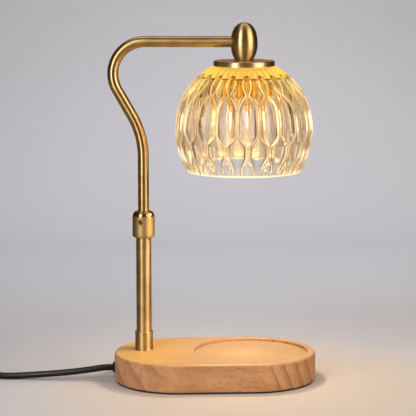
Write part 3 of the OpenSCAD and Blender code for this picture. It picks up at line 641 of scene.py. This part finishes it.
# %% Wood
WOOD_PALE = rgb(204, 154, 106)
WOOD_DEEP = rgb(188, 134, 88)
WOOD_RED = rgb(154, 96, 54)
WOOD_LINE = rgb(112, 62, 32)
WOOD_TOP_PAINTED_LIGHT = rgb(226, 192, 146)
WOOD_PAINTED_LIGHT_END = rgb(222, 168, 120)
WOOD_PAINTED_WARM_POOL = rgb(255, 205, 110)
RING_GAP = 0.0315
RING_START = 0.0315
RING_WAVE = 0.014
SLOPE = 0.24
RIGHT_FROM, RIGHT_SLOPE, RIGHT_CURVE = 0.036, 2.2, 120.0
LEFT_FROM, LEFT_CURVE = -0.03, 16.0
wood, g, shader = new_material("beech")
x, _, z = g.xyz()
facing_up = g.xyz("Normal")["Z"]
sides = g.range(facing_up, 0.25, 0.85, 1.0, 0.0)

right = g.math("MAXIMUM", g.less(x, RIGHT_FROM), 0.0)
left = g.math("MINIMUM", g.less(x, LEFT_FROM), 0.0)
slow = g.noise(g.place((1, 1.6, 1.6)), 16.0)
field = g.plus(z, g.times(x, SLOPE))
field = g.plus(field, g.times(right, RIGHT_SLOPE))
field = g.plus(field, g.times(g.math("POWER", right, 3.0), RIGHT_CURVE))
field = g.less(field, g.times(left, left, LEFT_CURVE))
field = g.plus(field, g.times(g.less(slow, 0.5), RING_WAVE))
year = g.math("FRACT", g.math("DIVIDE", g.plus(field, RING_START), RING_GAP))
late = g.window(year, 0.3, 0.9, 0.93, 0.99)
line = g.times(g.window(year, 0.84, 0.93, 0.95, 1.0), g.range(x, -0.04, 0.0, 0.15, 1.0))
strength = g.times(sides, g.math(
    "MAXIMUM", g.range(x, 0.042, 0.056, 0.22, 1.0), g.range(x, -0.06, -0.03, 0.8, 0.0)))

fibre = g.noise(g.place((0.03, 1, 1)), 1300.0, 3.0)
streaks = g.noise(g.place((0.05, 1, 0.4)), 260.0)
pores = g.range(g.noise(g.place((0.2, 1, 1)), 1100.0, 1.0), 0.60, 0.67)
patches = g.noise(g.place((0.4, 1, 1)), 30.0)
# Painted light makes the sides paler towards the left end, and painted shade makes them darker and
# redder towards the right end.
painted_light_left_end = g.times(g.range(x, -0.05, -0.02, 0.55, 0.0), sides)
painted_shade_right_end = g.times(g.range(x, 0.05, 0.088, 0.0, 0.42, smooth=False), sides)
tone = g.paint(
    g.mix(g.range(patches, 0.3, 0.7), WOOD_DEEP, WOOD_PALE),
    (painted_light_left_end, WOOD_PAINTED_LIGHT_END),
    (g.times(late, strength, 0.65), WOOD_RED),
    (painted_shade_right_end, WOOD_RED),
    (g.times(line, strength, 0.6), WOOD_LINE),
    (g.times(g.range(streaks, 0.4, 0.65), 0.28), WOOD_RED),
    (g.times(g.range(fibre, 0.35, 0.7), 0.16), WOOD_RED),
    (g.times(pores, 0.42), WOOD_LINE))
# Painted light on top: paler than the sides, with a painted warm pool of the lamp's light at the
# left end.
top = g.mix(g.range(x, -0.06, -0.005), WOOD_PAINTED_WARM_POOL, WOOD_TOP_PAINTED_LIGHT)
g.feed(
    shader, Base_Color=g.mix(g.range(facing_up, 0.5, 0.95, 0.0, 0.5), tone, top),
    Roughness=g.range(fibre, 0.2, 0.8, 0.42, 0.56),
    Normal=g.bump(g.less(g.times(fibre, 0.5), pores), 0.00004),
    Coat_Weight=0.12, Coat_Roughness=0.3)
finish(frame["nodes"]["wood_base"], wood)
print("beech with a ring every", RING_GAP * 1000, "mm of its field")

# %% [markdown]
# ## The cut-glass shade
# The shade is pressed glass, covered with hollow facets in staggered rows: a long leaf at the
# waist, with petals above and fans below between the leaves. Two neighbouring facets meet in a
# ridge, and each ridge runs as one curve from neck to rim. So the whole surface is one rule:
# the share of the width that the even facets take at each height. The facet's hollow is a
# parabola between its ridges. The mesh follows the ridges with its columns, which keeps every
# edge crisp, and its inside is smooth.

# %% The facets' rule
SHADE_X = 26.1
WAIST_Z, GLOBE_R, GLOBE_UP, GLOBE_DOWN = 232.0, 62.3, 63.7, 68.0
GLASS_T = 4.2
FACETS = 20
CELL = 180 / FACETS
SEAM = 0.6
FACET_DEPTH, SHALLOWER = 1.7, 0.8
LEAF_TOP, LEAF_HIGH, LEAF_LOW, LEAF_FOOT = 266.0, 252.6, 233.3, 221.8
FAN_TOP, FAN_FOOT = 211.7, 199.0
PETAL_TOP, PETAL_ARCH = 279.6, 1.2
BUD_TOP, BUD_ARCH = 282.2, 2.7
FOOT_ARCH = 4.0
RIM_Z, LIP, SHOULDER_Z = 193.3, 1.2, 288.2
LIP_R, GLASS_TOP, WEB_UNDER, NECK_R = 25.5, 290.5, 286.3, 19.7
MERIDIAN_TURN = -0.9
COLUMNS = (0.0, 0.3, 0.58, 0.8, 0.93, 0.985)
PETAL_SHARE, PETAL_SWELL, FAN_SHARE, FAN_ARCH = 0.45, 10, 0.5, 2
WELD = 0.0005


def clamp01(t):
    return min(1.0, max(0.0, t))


def globe(z, inset=0.0):
    """Radius of the shade over its ridges, or of a surface inset from it."""
    reach = (GLOBE_UP if z > WAIST_Z else GLOBE_DOWN) - inset
    return (GLOBE_R - inset) * math.sqrt(max(0.0, 1 - ((z - WAIST_Z) / reach) ** 2))


def swell(t):
    return math.sin(math.pi / 2 * clamp01(t))


def even_half(z):
    """Half the width, in degrees, of the facets on the even meridians."""
    if z > LEAF_TOP:
        return SEAM + PETAL_SHARE * CELL * swell((z - LEAF_TOP) / PETAL_SWELL)
    if z > FAN_TOP:
        rise = swell((z - LEAF_FOOT) / (LEAF_LOW - LEAF_FOOT))
        fall = swell((LEAF_TOP - z) / (LEAF_TOP - LEAF_HIGH))
        return SEAM + (CELL - 2 * SEAM) * min(rise, fall)
    return SEAM + FAN_SHARE * CELL * swell((FAN_TOP - z) / (FAN_TOP - FAN_FOOT))


def hollow(share, run_out, t):
    """Depth of a facet at t from its middle, 0, to its ridge, 1. It closes in an arch."""
    return max(0.0, FACET_DEPTH * share**SHALLOWER * (run_out - t * t))


def even_run(z):
    return clamp01((BUD_TOP - z) / BUD_ARCH) * clamp01((z - FAN_TOP) / FAN_ARCH)


def odd_run(z):
    return clamp01((PETAL_TOP - z) / PETAL_ARCH) * clamp01((z - FAN_FOOT) / FOOT_ARCH)


def sector_level(z):
    """Radii and angles of one level of a sector, from an even facet's middle to the next, and
    three marks of each column: how near it is to its ridge, its row, which is 1 in even facets
    and -1 in odd ones, and its facet's share of the width."""
    half = even_half(z)
    share = half / CELL
    columns = [(half * t, hollow(share, even_run(z), t), t, 1.0, share) for t in COLUMNS]
    for t in (1.0, *COLUMNS[::-1]):
        turn = CELL - (CELL - half) * t
        columns.append((turn, hollow(1 - share, odd_run(z), t), t, -1.0, 1 - share))
    columns += [(2 * CELL - turn, *rest) for turn, *rest in columns[-2::-1]]
    turns, hollows, *column_marks = (np.array(values) for values in zip(*columns))
    return globe(z) - hollows, np.radians(turns), column_marks


print("a sector of", 2 * CELL, "degrees has", len(sector_level(WAIST_Z)[0]), "columns")

# %% [markdown]
# The rule is the same in each sector, so only one sector is meshed. Its levels run from the rim
# up the outside, over the neck's lip, down the hole and down the smooth inside to the rim again.

# %% One sector of the shade
OUTSIDE_LEVELS, INSIDE_LEVELS = 122, 36
RIM_IN, RIM_W, RIM_RISE, LIP_EDGE = 1.4, 0.9, 0.35, 0.4


def level(radii, angles, z):
    return np.stack([
        radii * MM * np.cos(angles), radii * MM * np.sin(angles), np.full(len(angles), z * MM),
    ], axis=1)


def new_mesh(name, verts, faces):
    mesh = bpy.data.meshes.new(name)
    mesh.from_pydata(verts, [], faces)
    return new_object(name, mesh)


def strip(name, levels):
    """A mesh through levels of equal size, the last joined to the first."""
    across, count = len(levels[0]), len(levels)
    faces = []
    for i in range(count):
        low, high = i * across, (i + 1) % count * across
        faces += [(low + k, low + k + 1, high + k + 1, high + k) for k in range(across - 1)]
    return new_mesh(name, np.concatenate(levels).tolist(), faces)


outside = []
marks = {"ridge": [], "row": [], "share": []}
for z in np.linspace(RIM_Z + LIP, SHOULDER_Z, OUTSIDE_LEVELS):
    radii, angles, column_marks = sector_level(z)
    outside.append(level(radii, angles, z))
    for values, column_mark in zip(marks.values(), column_marks):
        values.append(column_mark)
rim_angles = sector_level(RIM_Z + LIP)[1]
neck_angles = sector_level(SHOULDER_Z)[1]
even = np.full(len(rim_angles), 1.0)
rim_r = globe(RIM_Z + LIP) - RIM_IN
rim = [
    level(even * (globe(RIM_Z, GLASS_T) + RIM_W), rim_angles, RIM_Z),
    level(even * rim_r, rim_angles, RIM_Z),
    level(even * (rim_r + RIM_W), rim_angles, RIM_Z + RIM_RISE),
]
neck = [
    level(even * LIP_R, neck_angles, GLASS_TOP - LIP_EDGE),
    level(even * (LIP_R - LIP_EDGE), neck_angles, GLASS_TOP),
    level(even * NECK_R, neck_angles, GLASS_TOP),
    level(even * NECK_R, neck_angles, WEB_UNDER),
]
inside = []
for z in np.linspace(WEB_UNDER - LIP_EDGE, RIM_Z + RIM_W, INSIDE_LEVELS):
    share = (z - RIM_Z) / (WEB_UNDER - RIM_Z)
    inside.append(level(
        even * globe(z, GLASS_T), rim_angles * (1 - share) + neck_angles * share, z))
shade = strip("cut_glass_shade", rim + outside + neck + inside)
for name, rows in marks.items():
    values = np.zeros((len(rim + outside + neck + inside), len(rim_angles)))
    values[len(rim):len(rim) + len(outside)] = rows
    shade.data.attributes.new(name, "FLOAT", "POINT").data.foreach_set(
        "value", values.ravel().astype(np.float32))
print("one sector has", len(shade.data.polygons), "faces")

# %% [markdown]
# Geometry Nodes set the sector round the shade's axis: a point for each sector, all in one
# place, an instance on each, turned by its number, then real mesh, welded along the seams.

# %% The sectors set in a ring
def ring_tree():
    """Geometry Nodes tree that sets its mesh in a ring about an upright axis."""
    tree = bpy.data.node_groups.new("set_in_a_ring", "GeometryNodeTree")
    face = tree.interface
    face.new_socket("Sector", in_out="INPUT", socket_type="NodeSocketGeometry")
    for name, kind in (("Count", "Int"), ("Start", "Float"), ("Axis", "Vector"),
                       ("Weld", "Float"), ("Material", "Material")):
        face.new_socket(name, in_out="INPUT", socket_type="NodeSocket" + kind)
    face.new_socket("Ring", in_out="OUTPUT", socket_type="NodeSocketGeometry")
    graph = Graph(tree)
    given = graph.add("NodeGroupInput").outputs
    points = graph.add("GeometryNodeMeshLine", inputs={
        "Count": given["Count"], "Offset": (0, 0, 0)})
    number = graph.add("GeometryNodeInputIndex").outputs["Index"]
    step = graph.math("DIVIDE", 2 * math.pi, given["Count"])
    turn = graph.plus(graph.times(number, step), given["Start"])
    copies = graph.add("GeometryNodeInstanceOnPoints", inputs={
        "Points": points.outputs["Mesh"], "Instance": given["Sector"],
        "Rotation": graph.vector(Z=turn)})
    result = copies.outputs["Instances"]
    for kind, others in (
        ("GeometryNodeTranslateInstances", {"Translation": given["Axis"], "Local Space": False}),
        ("GeometryNodeRealizeInstances", {}),
        ("GeometryNodeMergeByDistance", {"Distance": given["Weld"]}),
        ("GeometryNodeSetShadeSmooth", {}),
        ("GeometryNodeSetMaterial", {"Material": given["Material"]}),
    ):
        result = graph.add(kind, inputs={0: result, **others}).outputs[0]
    graph.put(graph.add("NodeGroupOutput").inputs["Ring"], result)
    return tree


glass, g, shader = new_material("cut_glass")
ring = shade.modifiers.new("ring", "NODES")
ring.node_group = ring_tree()
named = {item.name: item.identifier for item in ring.node_group.interface.items_tree
         if item.in_out == "INPUT"}
for name, value in (("Count", FACETS), ("Start", math.radians(MERIDIAN_TURN)),
                    ("Axis", (SHADE_X * MM, 0, 0)), ("Weld", WELD * MM), ("Material", glass)):
    ring[named[name]] = value
depsgraph = bpy.context.evaluated_depsgraph_get()
ringed = bpy.data.meshes.new_from_object(shade.evaluated_get(depsgraph))
shade.modifiers.clear()
shade.data = ringed
bm = bmesh.new()
bm.from_mesh(shade.data)
bmesh.ops.recalc_face_normals(bm, faces=bm.faces)
open_edges = sum(not edge.is_manifold for edge in bm.edges)
bm.to_mesh(shade.data)
bm.free()
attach(shade, "arm")
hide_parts("glass_shade")
print("shade of", len(shade.data.polygons), "faces, with", open_edges, "open edges")

# %% [markdown]
# Clear glass shows what stands behind it, and thick pressed glass also guides the bulb's light
# along itself and lets it out where the surface breaks. Here that light is painted: the ridges
# and the band round the neck get a painted gold glow, and painted dark lines and streaks stand for
# the dark reflections in the cuts. The mesh carries how near each point is to a ridge, its row and
# its facet's width, from which come the masks: the band over the rows' arched tops, the ridges'
# spines and flanks, and the streaks and clouds in the hollows.

# %% Where the glass changes
ridge, row, share = (
    g.add("ShaderNodeAttribute", attribute_name=name).outputs["Fac"] for name in marks)
across, _, height = g.xyz()
facing = g.facing()
aside = g.range(facing, 0.12, 0.45)
cut = g.range(g.math("ABSOLUTE", row), 0.2, 0.5)
arch = g.times(ridge, ridge, g.range(row, -0.5, 0.5, 0.3 * MM, BUD_ARCH * MM))
top_of_row = g.range(row, -0.5, 0.5, PETAL_TOP * MM, BUD_TOP * MM)
past = g.less(g.plus(height, arch), top_of_row)
band = g.times(g.range(past, -0.0003, 0.0003), cut)
below = g.flip(band)
edge_line = g.window(past, -0.0012, -0.0006, 0.0002, 0.0007)

slid = g.vector(X=g.plus(g.times(ridge, 0.055), g.times(row, 0.4)))
streak_place = g.add(
    "ShaderNodeVectorMath", operation="ADD", inputs={0: g.place((0.6, 0.6, 0.22)), 1: slid})
streaks = g.noise(streak_place.outputs[0], 105.0, 3.0, 0.6)
cloud = g.noise(g.place((1, 1, 0.5)), 70.0)
# Masks of painted dark reflections: dark streaks in the hollows, and dark lines on and beside the
# ridges.
dark_streak = g.times(
    g.range(streaks, 0.38, 0.46, 1.0, 0.0), cut, g.range(aside, 0.0, 1.0, 0.7, 1.25))
light_streak = g.times(g.range(streaks, 0.55, 0.62), cut)
flank = g.window(ridge, 0.45, 0.9, 0.9, 0.97)
beside = g.times(g.window(ridge, 0.64, 0.72, 0.8, 0.86), g.range(streaks, 0.46, 0.56, 1.0, 0.15))
spine = g.times(
    g.range(ridge, 0.955, 0.985), g.range(streaks, 0.44, 0.54, 1.0, 0.0), below,
    g.range(aside, 0.0, 1.0, 0.35, 1.0))
# Mask of a painted grey on the upper rows, for the backdrop seen through the glass.
grey = g.times(
    g.range(height, 0.258, 0.27), g.range(cloud, 0.5, 0.56, 1.0, 0.0),
    g.range(facing, 0.16, 0.26), g.range(ridge, 0.5, 0.7, 1.0, 0.0))
print("masks of the glass ready")

# %% [markdown]
# The tint is nearly clear low down and honey-coloured near the neck, a painted warm glow from the
# bulb, and the ridges' flanks get a deeper painted honey. Between the middle and the outline it is
# darker, more so on the right: painted shade. The lines beside and on the ridges are brown, and so
# are the dark streaks: painted dark reflections in the edges of thick glass. The band is painted
# gold, for the lit brass seen through it, and grey patches are painted for the backdrop seen
# through.

# %% Tint of the glass
CLEAR, CLEAR_ASIDE, CLEAR_SHADED = rgb(246, 242, 244), rgb(244, 230, 208), rgb(236, 232, 228)
PAINTED_HONEY_GLOW, FLANK_PAINTED_HONEY, BAND_PAINTED_GOLD = rgb(255, 232, 190), rgb(255, 206, 130), rgb(214, 156, 64)
STREAK_BROWN, SPINE_BROWN, BESIDE_BROWN = rgb(140, 84, 44), rgb(96, 48, 14), rgb(104, 50, 12)
PAINTED_BACKDROP_GREY, EDGE_BROWN = rgb(92, 82, 88), rgb(90, 40, 4)
HONEY_FROM, HONEY_TO = 0.235, 0.282
# Painted shade: darker between the middle and the outline, more so on the right.
shaded = g.times(
    g.window(facing, 0.05, 0.15, 0.34, 0.5),
    g.range(across, (SHADE_X - 10) * MM, (SHADE_X + 30) * MM, 0.35, 1.1))
low_tint = g.mix(shaded, g.mix(aside, CLEAR, CLEAR_ASIDE), CLEAR_SHADED, "MULTIPLY")
g.feed(shader, Base_Color=g.paint(
    low_tint,
    (g.range(height, HONEY_FROM, HONEY_TO), PAINTED_HONEY_GLOW),
    (g.times(flank, 0.5), FLANK_PAINTED_HONEY),
    (g.times(dark_streak, 0.75), STREAK_BROWN),
    (spine, SPINE_BROWN),
    (g.times(grey, 0.5), PAINTED_BACKDROP_GREY),
    (g.times(beside, 0.9), BESIDE_BROWN),
    (band, BAND_PAINTED_GOLD),
    (edge_line, EDGE_BROWN)))
print("tint of the glass: clear to honey from", HONEY_FROM, "to", HONEY_TO, "m up")

# %% [markdown]
# The guided light is painted as an emission: a painted glow. A veil of it fills the hollows,
# streaks and threads lie over it, the painted dark lines take it away, and the outline at the
# waist, the shoulder, the foot and the rim's lip get their own share as painted highlights.
# Shadow rays pass straight through the glass, so that the bulb lights the base.

# %% Light in the glass
LENS_DEPTH, RIPPLE = 0.0032, 0.0003
WAIST_BELT, FOOT_BELT = (0.230, 0.235, 0.245, 0.250), (0.202, 0.206, 0.213, 0.217)
BAND_PAINTED_GLOW = (0.51, 0.38, 0.06, 1)
# Painted glow and painted highlights of the bulb's light in the glass, from here to the band's
# glow.
veil = g.times(g.range(cloud, 0.3, 0.7, 0.4, 1.4), cut, g.flip(grey))
warmth = g.mix(g.range(height, 0.255, 0.275), (0.05, 0.035, 0.017, 1), (0.2, 0.13, 0.02, 1))
thread = g.times(g.range(ridge, 0.82, 0.94), g.range(height, 0.196, 0.2, 0.3, 1.0), below)
belt = g.plus(g.window(height, *WAIST_BELT), g.window(height, *FOOT_BELT))
edge = g.times(g.window(facing, 0.58, 0.64, 0.70, 0.78), belt, g.range(streaks, 0.4, 0.55, 0.5, 1))
shoulder = g.times(
    g.range(facing, 0.4, 0.6), g.range(height, 0.255, 0.27), g.range(streaks, 0.45, 0.6))
foot = g.times(g.range(height, 0.198, 0.206, 1.0, 0.0), g.flip(aside))
lip = g.range(height, 0.1938, 0.1955, 1.0, 0.0)
light = g.lighten(
    g.mix(veil, DARK, warmth),
    (light_streak, (0.15, 0.125, 0.08)),
    (g.times(thread, g.range(cloud, 0.38, 0.62, 0.25, 1.2)), (0.6, 0.44, 0.16)),
    (g.times(flank, g.range(streaks, 0.42, 0.6, 0.02, 0.2)), (0.8, 0.42, 0.08)))
light = g.paint(
    light,
    (g.times(beside, 0.95), (0.03, 0.012, 0.0, 1)),
    (spine, (0.05, 0.02, 0.0, 1)),
    (g.times(dark_streak, 0.75), (0.02, 0.012, 0.006, 1)))
light = g.lighten(
    light, (edge, (0.85, 0.76, 0.5)), (shoulder, (0.26, 0.16, 0.03)), (foot, (0.09, 0.07, 0.03)),
    (lip, (0.8, 0.68, 0.42)))
light = g.paint(light, (band, BAND_PAINTED_GLOW), (g.times(edge_line, 0.75), (0.02, 0.006, 0.0, 1)))
polish = g.range(g.noise(g.place(), 60.0), 0.3, 0.7, 0.02, 0.07)
bowl = g.times(g.times(ridge, ridge), g.times(share, LENS_DEPTH))
ripple = g.times(g.noise(g.place(), 170.0, 1.0), RIPPLE)
g.feed(
    shader, Emission_Color=light, Emission_Strength=1.0, Transmission_Weight=1.0, IOR=1.5,
    Roughness=g.math("MAXIMUM", polish, g.times(band, 0.4)),
    Normal=g.bump(g.plus(bowl, ripple), 1.0))
clear = g.add("ShaderNodeBsdfTransparent", inputs={"Color": rgb(255, 236, 206)})
cross_over(g, shader, g.add("ShaderNodeLightPath").outputs["Is Shadow Ray"], clear)
finish(shade, glass)
print("glass glows gold along its ridges and in its band")

# %% [markdown]
# ## The bulb
# A 50 W halogen reflector bulb. Its pressed-glass reflector is faceted and coated, so it
# glows gold from behind. The capsule inside it is the brightest piece of all. The ceramic of its
# base and of the socket get a painted glow down their middle, for the bulb's light on them.

# %% Bulb finishes
def glowing(name, base, dim, bright, power, rough=0.3, transmission=0.0):
    """A piece given an emission, dim at its sides and bright down its middle: in the bulb its own
    light, on the ceramics round it a painted glow. Each glow is a colour and a strength."""
    made, graph, principled = new_material(name)
    ripple_of = graph.noise(graph.place(), 260.0, 1.0)
    middle_of = graph.math("POWER", graph.flip(graph.facing()), power)
    glow_of = [tuple(c * strength for c in colour[:3]) + (1,) for colour, strength in (dim, bright)]
    graph.feed(
        principled, Roughness=rough, Transmission_Weight=transmission, IOR=1.45,
        Base_Color=graph.mix(graph.range(ripple_of, 0.35, 0.65), base, rgb(255, 240, 210)),
        Emission_Color=graph.mix(middle_of, *glow_of), Emission_Strength=1.0,
        Normal=graph.bump(ripple_of, 0.0002))
    return made


AMBER, ORANGE, CREAM = rgb(255, 196, 110), rgb(250, 178, 30), rgb(255, 240, 190)
GLOWING = {
    "bulb_lens": glowing("bulb_lens", CREAM, (CREAM, 0.03), (CREAM, 0.3), 3.0),
    "bulb_capsule": glowing("bulb_capsule", CREAM, (AMBER, 0.5), (CREAM, 5.0), 2.5),
    # The two ceramics are no lamp: their glow is painted light from the bulb.
    "bulb_base": glowing("base_ceramic_painted_glow", rgb(150, 96, 50), (AMBER, 0.1), (ORANGE, 1.6), 22.0),
    "socket_ceramic": glowing("socket_ceramic_painted_glow", rgb(150, 92, 44), (AMBER, 0.08), (ORANGE, 1.4), 30.0),
    "bulb_reflector": glowing(
        "bulb_reflector", rgb(250, 244, 236), (AMBER, 0.03), (CREAM, 0.08), 4.0, 0.15, 1.0),
}
for node, made in GLOWING.items():
    finish(frame["nodes"][node], made)
print("bulb:", sorted(GLOWING))

# %% [markdown]
# ## Stage and light
# A pale grey floor runs into a backdrop, which can be seen through from behind. Two tall
# softboxes, one on each side of the camera, draw the two light stripes on the brass, with the
# dark room between them and at the edges.

# %% Floor and backdrop
FLOOR_FRONT, BEND_FROM, BEND_R, WALL_TOP, HALF_WIDE = -3.0, 0.75, 0.5, 2.6, 2.6
profile = [(FLOOR_FRONT, 0.0)]
profile += [(BEND_FROM + BEND_R * math.sin(a), BEND_R - BEND_R * math.cos(a))
            for a in np.linspace(0, math.pi / 2, 24)]
profile.append((BEND_FROM + BEND_R, WALL_TOP))
sweep = new_mesh(
    "stage_sweep", [(x, y, z) for y, z in profile for x in (-HALF_WIDE, HALF_WIDE)],
    [(2 * i, 2 * i + 1, 2 * i + 3, 2 * i + 2) for i in range(len(profile) - 1)])
for polygon in sweep.data.polygons:
    polygon.use_smooth = True
print("sweep is", BEND_FROM + BEND_R - FLOOR_FRONT, "m deep and", WALL_TOP, "m high")

# %% [markdown]
# The paper is warmer in a painted pool of the lamp's light. In reflections it is brown, and dark
# at its far sides, like the room round a studio. Towards its edges the camera sees one plain grey
# instead of lit paper, which meets the room's.

# %% Paper
POOL_AT = (0.05, -0.06, 0)
paper, g, shader = new_material("stage_paper")
ray = g.add("ShaderNodeLightPath").outputs
mirrored = g.math("SUBTRACT", ray["Is Glossy Ray"], ray["Is Transmission Ray"], clamp=True)
across, depth, _ = g.xyz()
across = g.math("ABSOLUTE", across)
out = g.add("ShaderNodeVectorMath", operation="DISTANCE", inputs={0: g.place(), 1: POOL_AT})
# A painted pool of warm light on the paper in front of the lamp.
painted_pool = g.range(out.outputs["Value"], 0.08, 0.3, 1.0, 0.0)
pale = g.mix(g.noise(g.place(), 3.0), rgb(206, 204, 204), rgb(212, 210, 210))
pale = g.mix(painted_pool, g.mix(0.6, pale, rgb(206, 209, 223)), rgb(212, 199, 190))
far = g.times(g.range(depth, 0.0, 0.5), g.flip(g.range(across, 0.45, 0.8, 1.0, 0.0)))
seen = g.mix(mirrored, pale, g.mix(far, rgb(170, 150, 126), rgb(60, 46, 32)))
off = g.math("MAXIMUM", g.range(depth, -1.1, -0.7, 1.0, 0.0), g.range(across, 0.8, 1.3))
off = g.times(off, ray["Is Camera Ray"])
g.feed(
    shader, Base_Color=g.mix(off, seen, DARK), Roughness=0.8,
    Emission_Color=g.mix(off, DARK, rgb(184, 182, 183)), Emission_Strength=1.0)
cross_over(
    g, shader, g.add("ShaderNodeNewGeometry").outputs["Backfacing"],
    g.add("ShaderNodeBsdfTransparent"))
finish(sweep, paper)
print("paper ready")

# %% [markdown]
# Each softbox's place is given as an angle from the camera, seen from the lamp, so that the
# stripes on the brass fall where they should: a reflection stands at twice the angle of the
# surface it is seen in. One spot washes the backdrop, and one is the bulb's own beam.

# %% Lights
def hang(data, power, tint, place_of, target):
    """Hangs a light at a place, turned to its target."""
    data.energy = power
    data.color = tint
    aimed(data.name, data, Vector(place_of), Vector(target))


def softbox(name, azimuth, height, distance, size, power, tint=(1, 1, 1)):
    """A rectangular light at an azimuth, in degrees to the right of the camera."""
    forward = CAMERA_TARGET - CAMERA_PLACE
    turn = math.atan2(forward.x, forward.y) + math.pi - math.radians(azimuth)
    data = bpy.data.lights.new(name, "AREA")
    data.shape = "RECTANGLE"
    data.size, data.size_y = size
    place_of = (distance * math.sin(turn), distance * math.cos(turn), height)
    hang(data, power, tint, place_of, (0, 0, 0.18))


def spot(name, place_of, target, power, tint, cone, blend, soft):
    data = bpy.data.lights.new(name, "SPOT")
    data.spot_size = math.radians(cone)
    data.spot_blend = blend
    data.shadow_soft_size = soft
    hang(data, power, tint, place_of, target)


softbox("left_strip", -35, 0.6, 1.3, (0.45, 1.5), 11.5)
softbox("right_strip", 58, 0.6, 1.3, (0.95, 1.5), 16, (1.0, 0.9, 0.72))
softbox("top_light", 180, 1.9, 0.35, (1.6, 1.0), 6, (1.0, 0.97, 0.95))
spot("backdrop_wash", (0.08, 0.63, 0.95), (0.08, 0.78, 0), 10.2, (0.985, 0.98, 0.985), 85, 1.0, 0.1)
spot("bulb_beam", (SHADE_X * MM, 0, 0.2065), (SHADE_X * MM, 0, 0), 1.65, (1.0, 0.78, 0.52),
     150, 0.7, 0.02)

# %% [markdown]
# The room round the stage is one plain colour to the camera, and darker and warmer in the brass
# and in the glass, as a real room is. One background with three colours does this without
# walls, which would block the lights.

# %% Room
world = bpy.data.worlds.new("room")
world.use_nodes = True
world.node_tree.nodes.clear()
g = Graph(world.node_tree)
ray = g.add("ShaderNodeLightPath").outputs
tint = g.paint(
    rgb(104, 103, 104), (ray["Is Glossy Ray"], rgb(70, 56, 36)),
    (ray["Is Transmission Ray"], rgb(92, 64, 44)), (ray["Is Camera Ray"], rgb(188, 186, 187)))
back = g.add("ShaderNodeBackground", inputs={"Color": tint, "Strength": 1.0})
g.put(g.add("ShaderNodeOutputWorld").inputs["Surface"], back.outputs["Background"])
bpy.context.scene.world = world
bpy.context.scene.view_settings.view_transform = "Standard"
print("room ready")
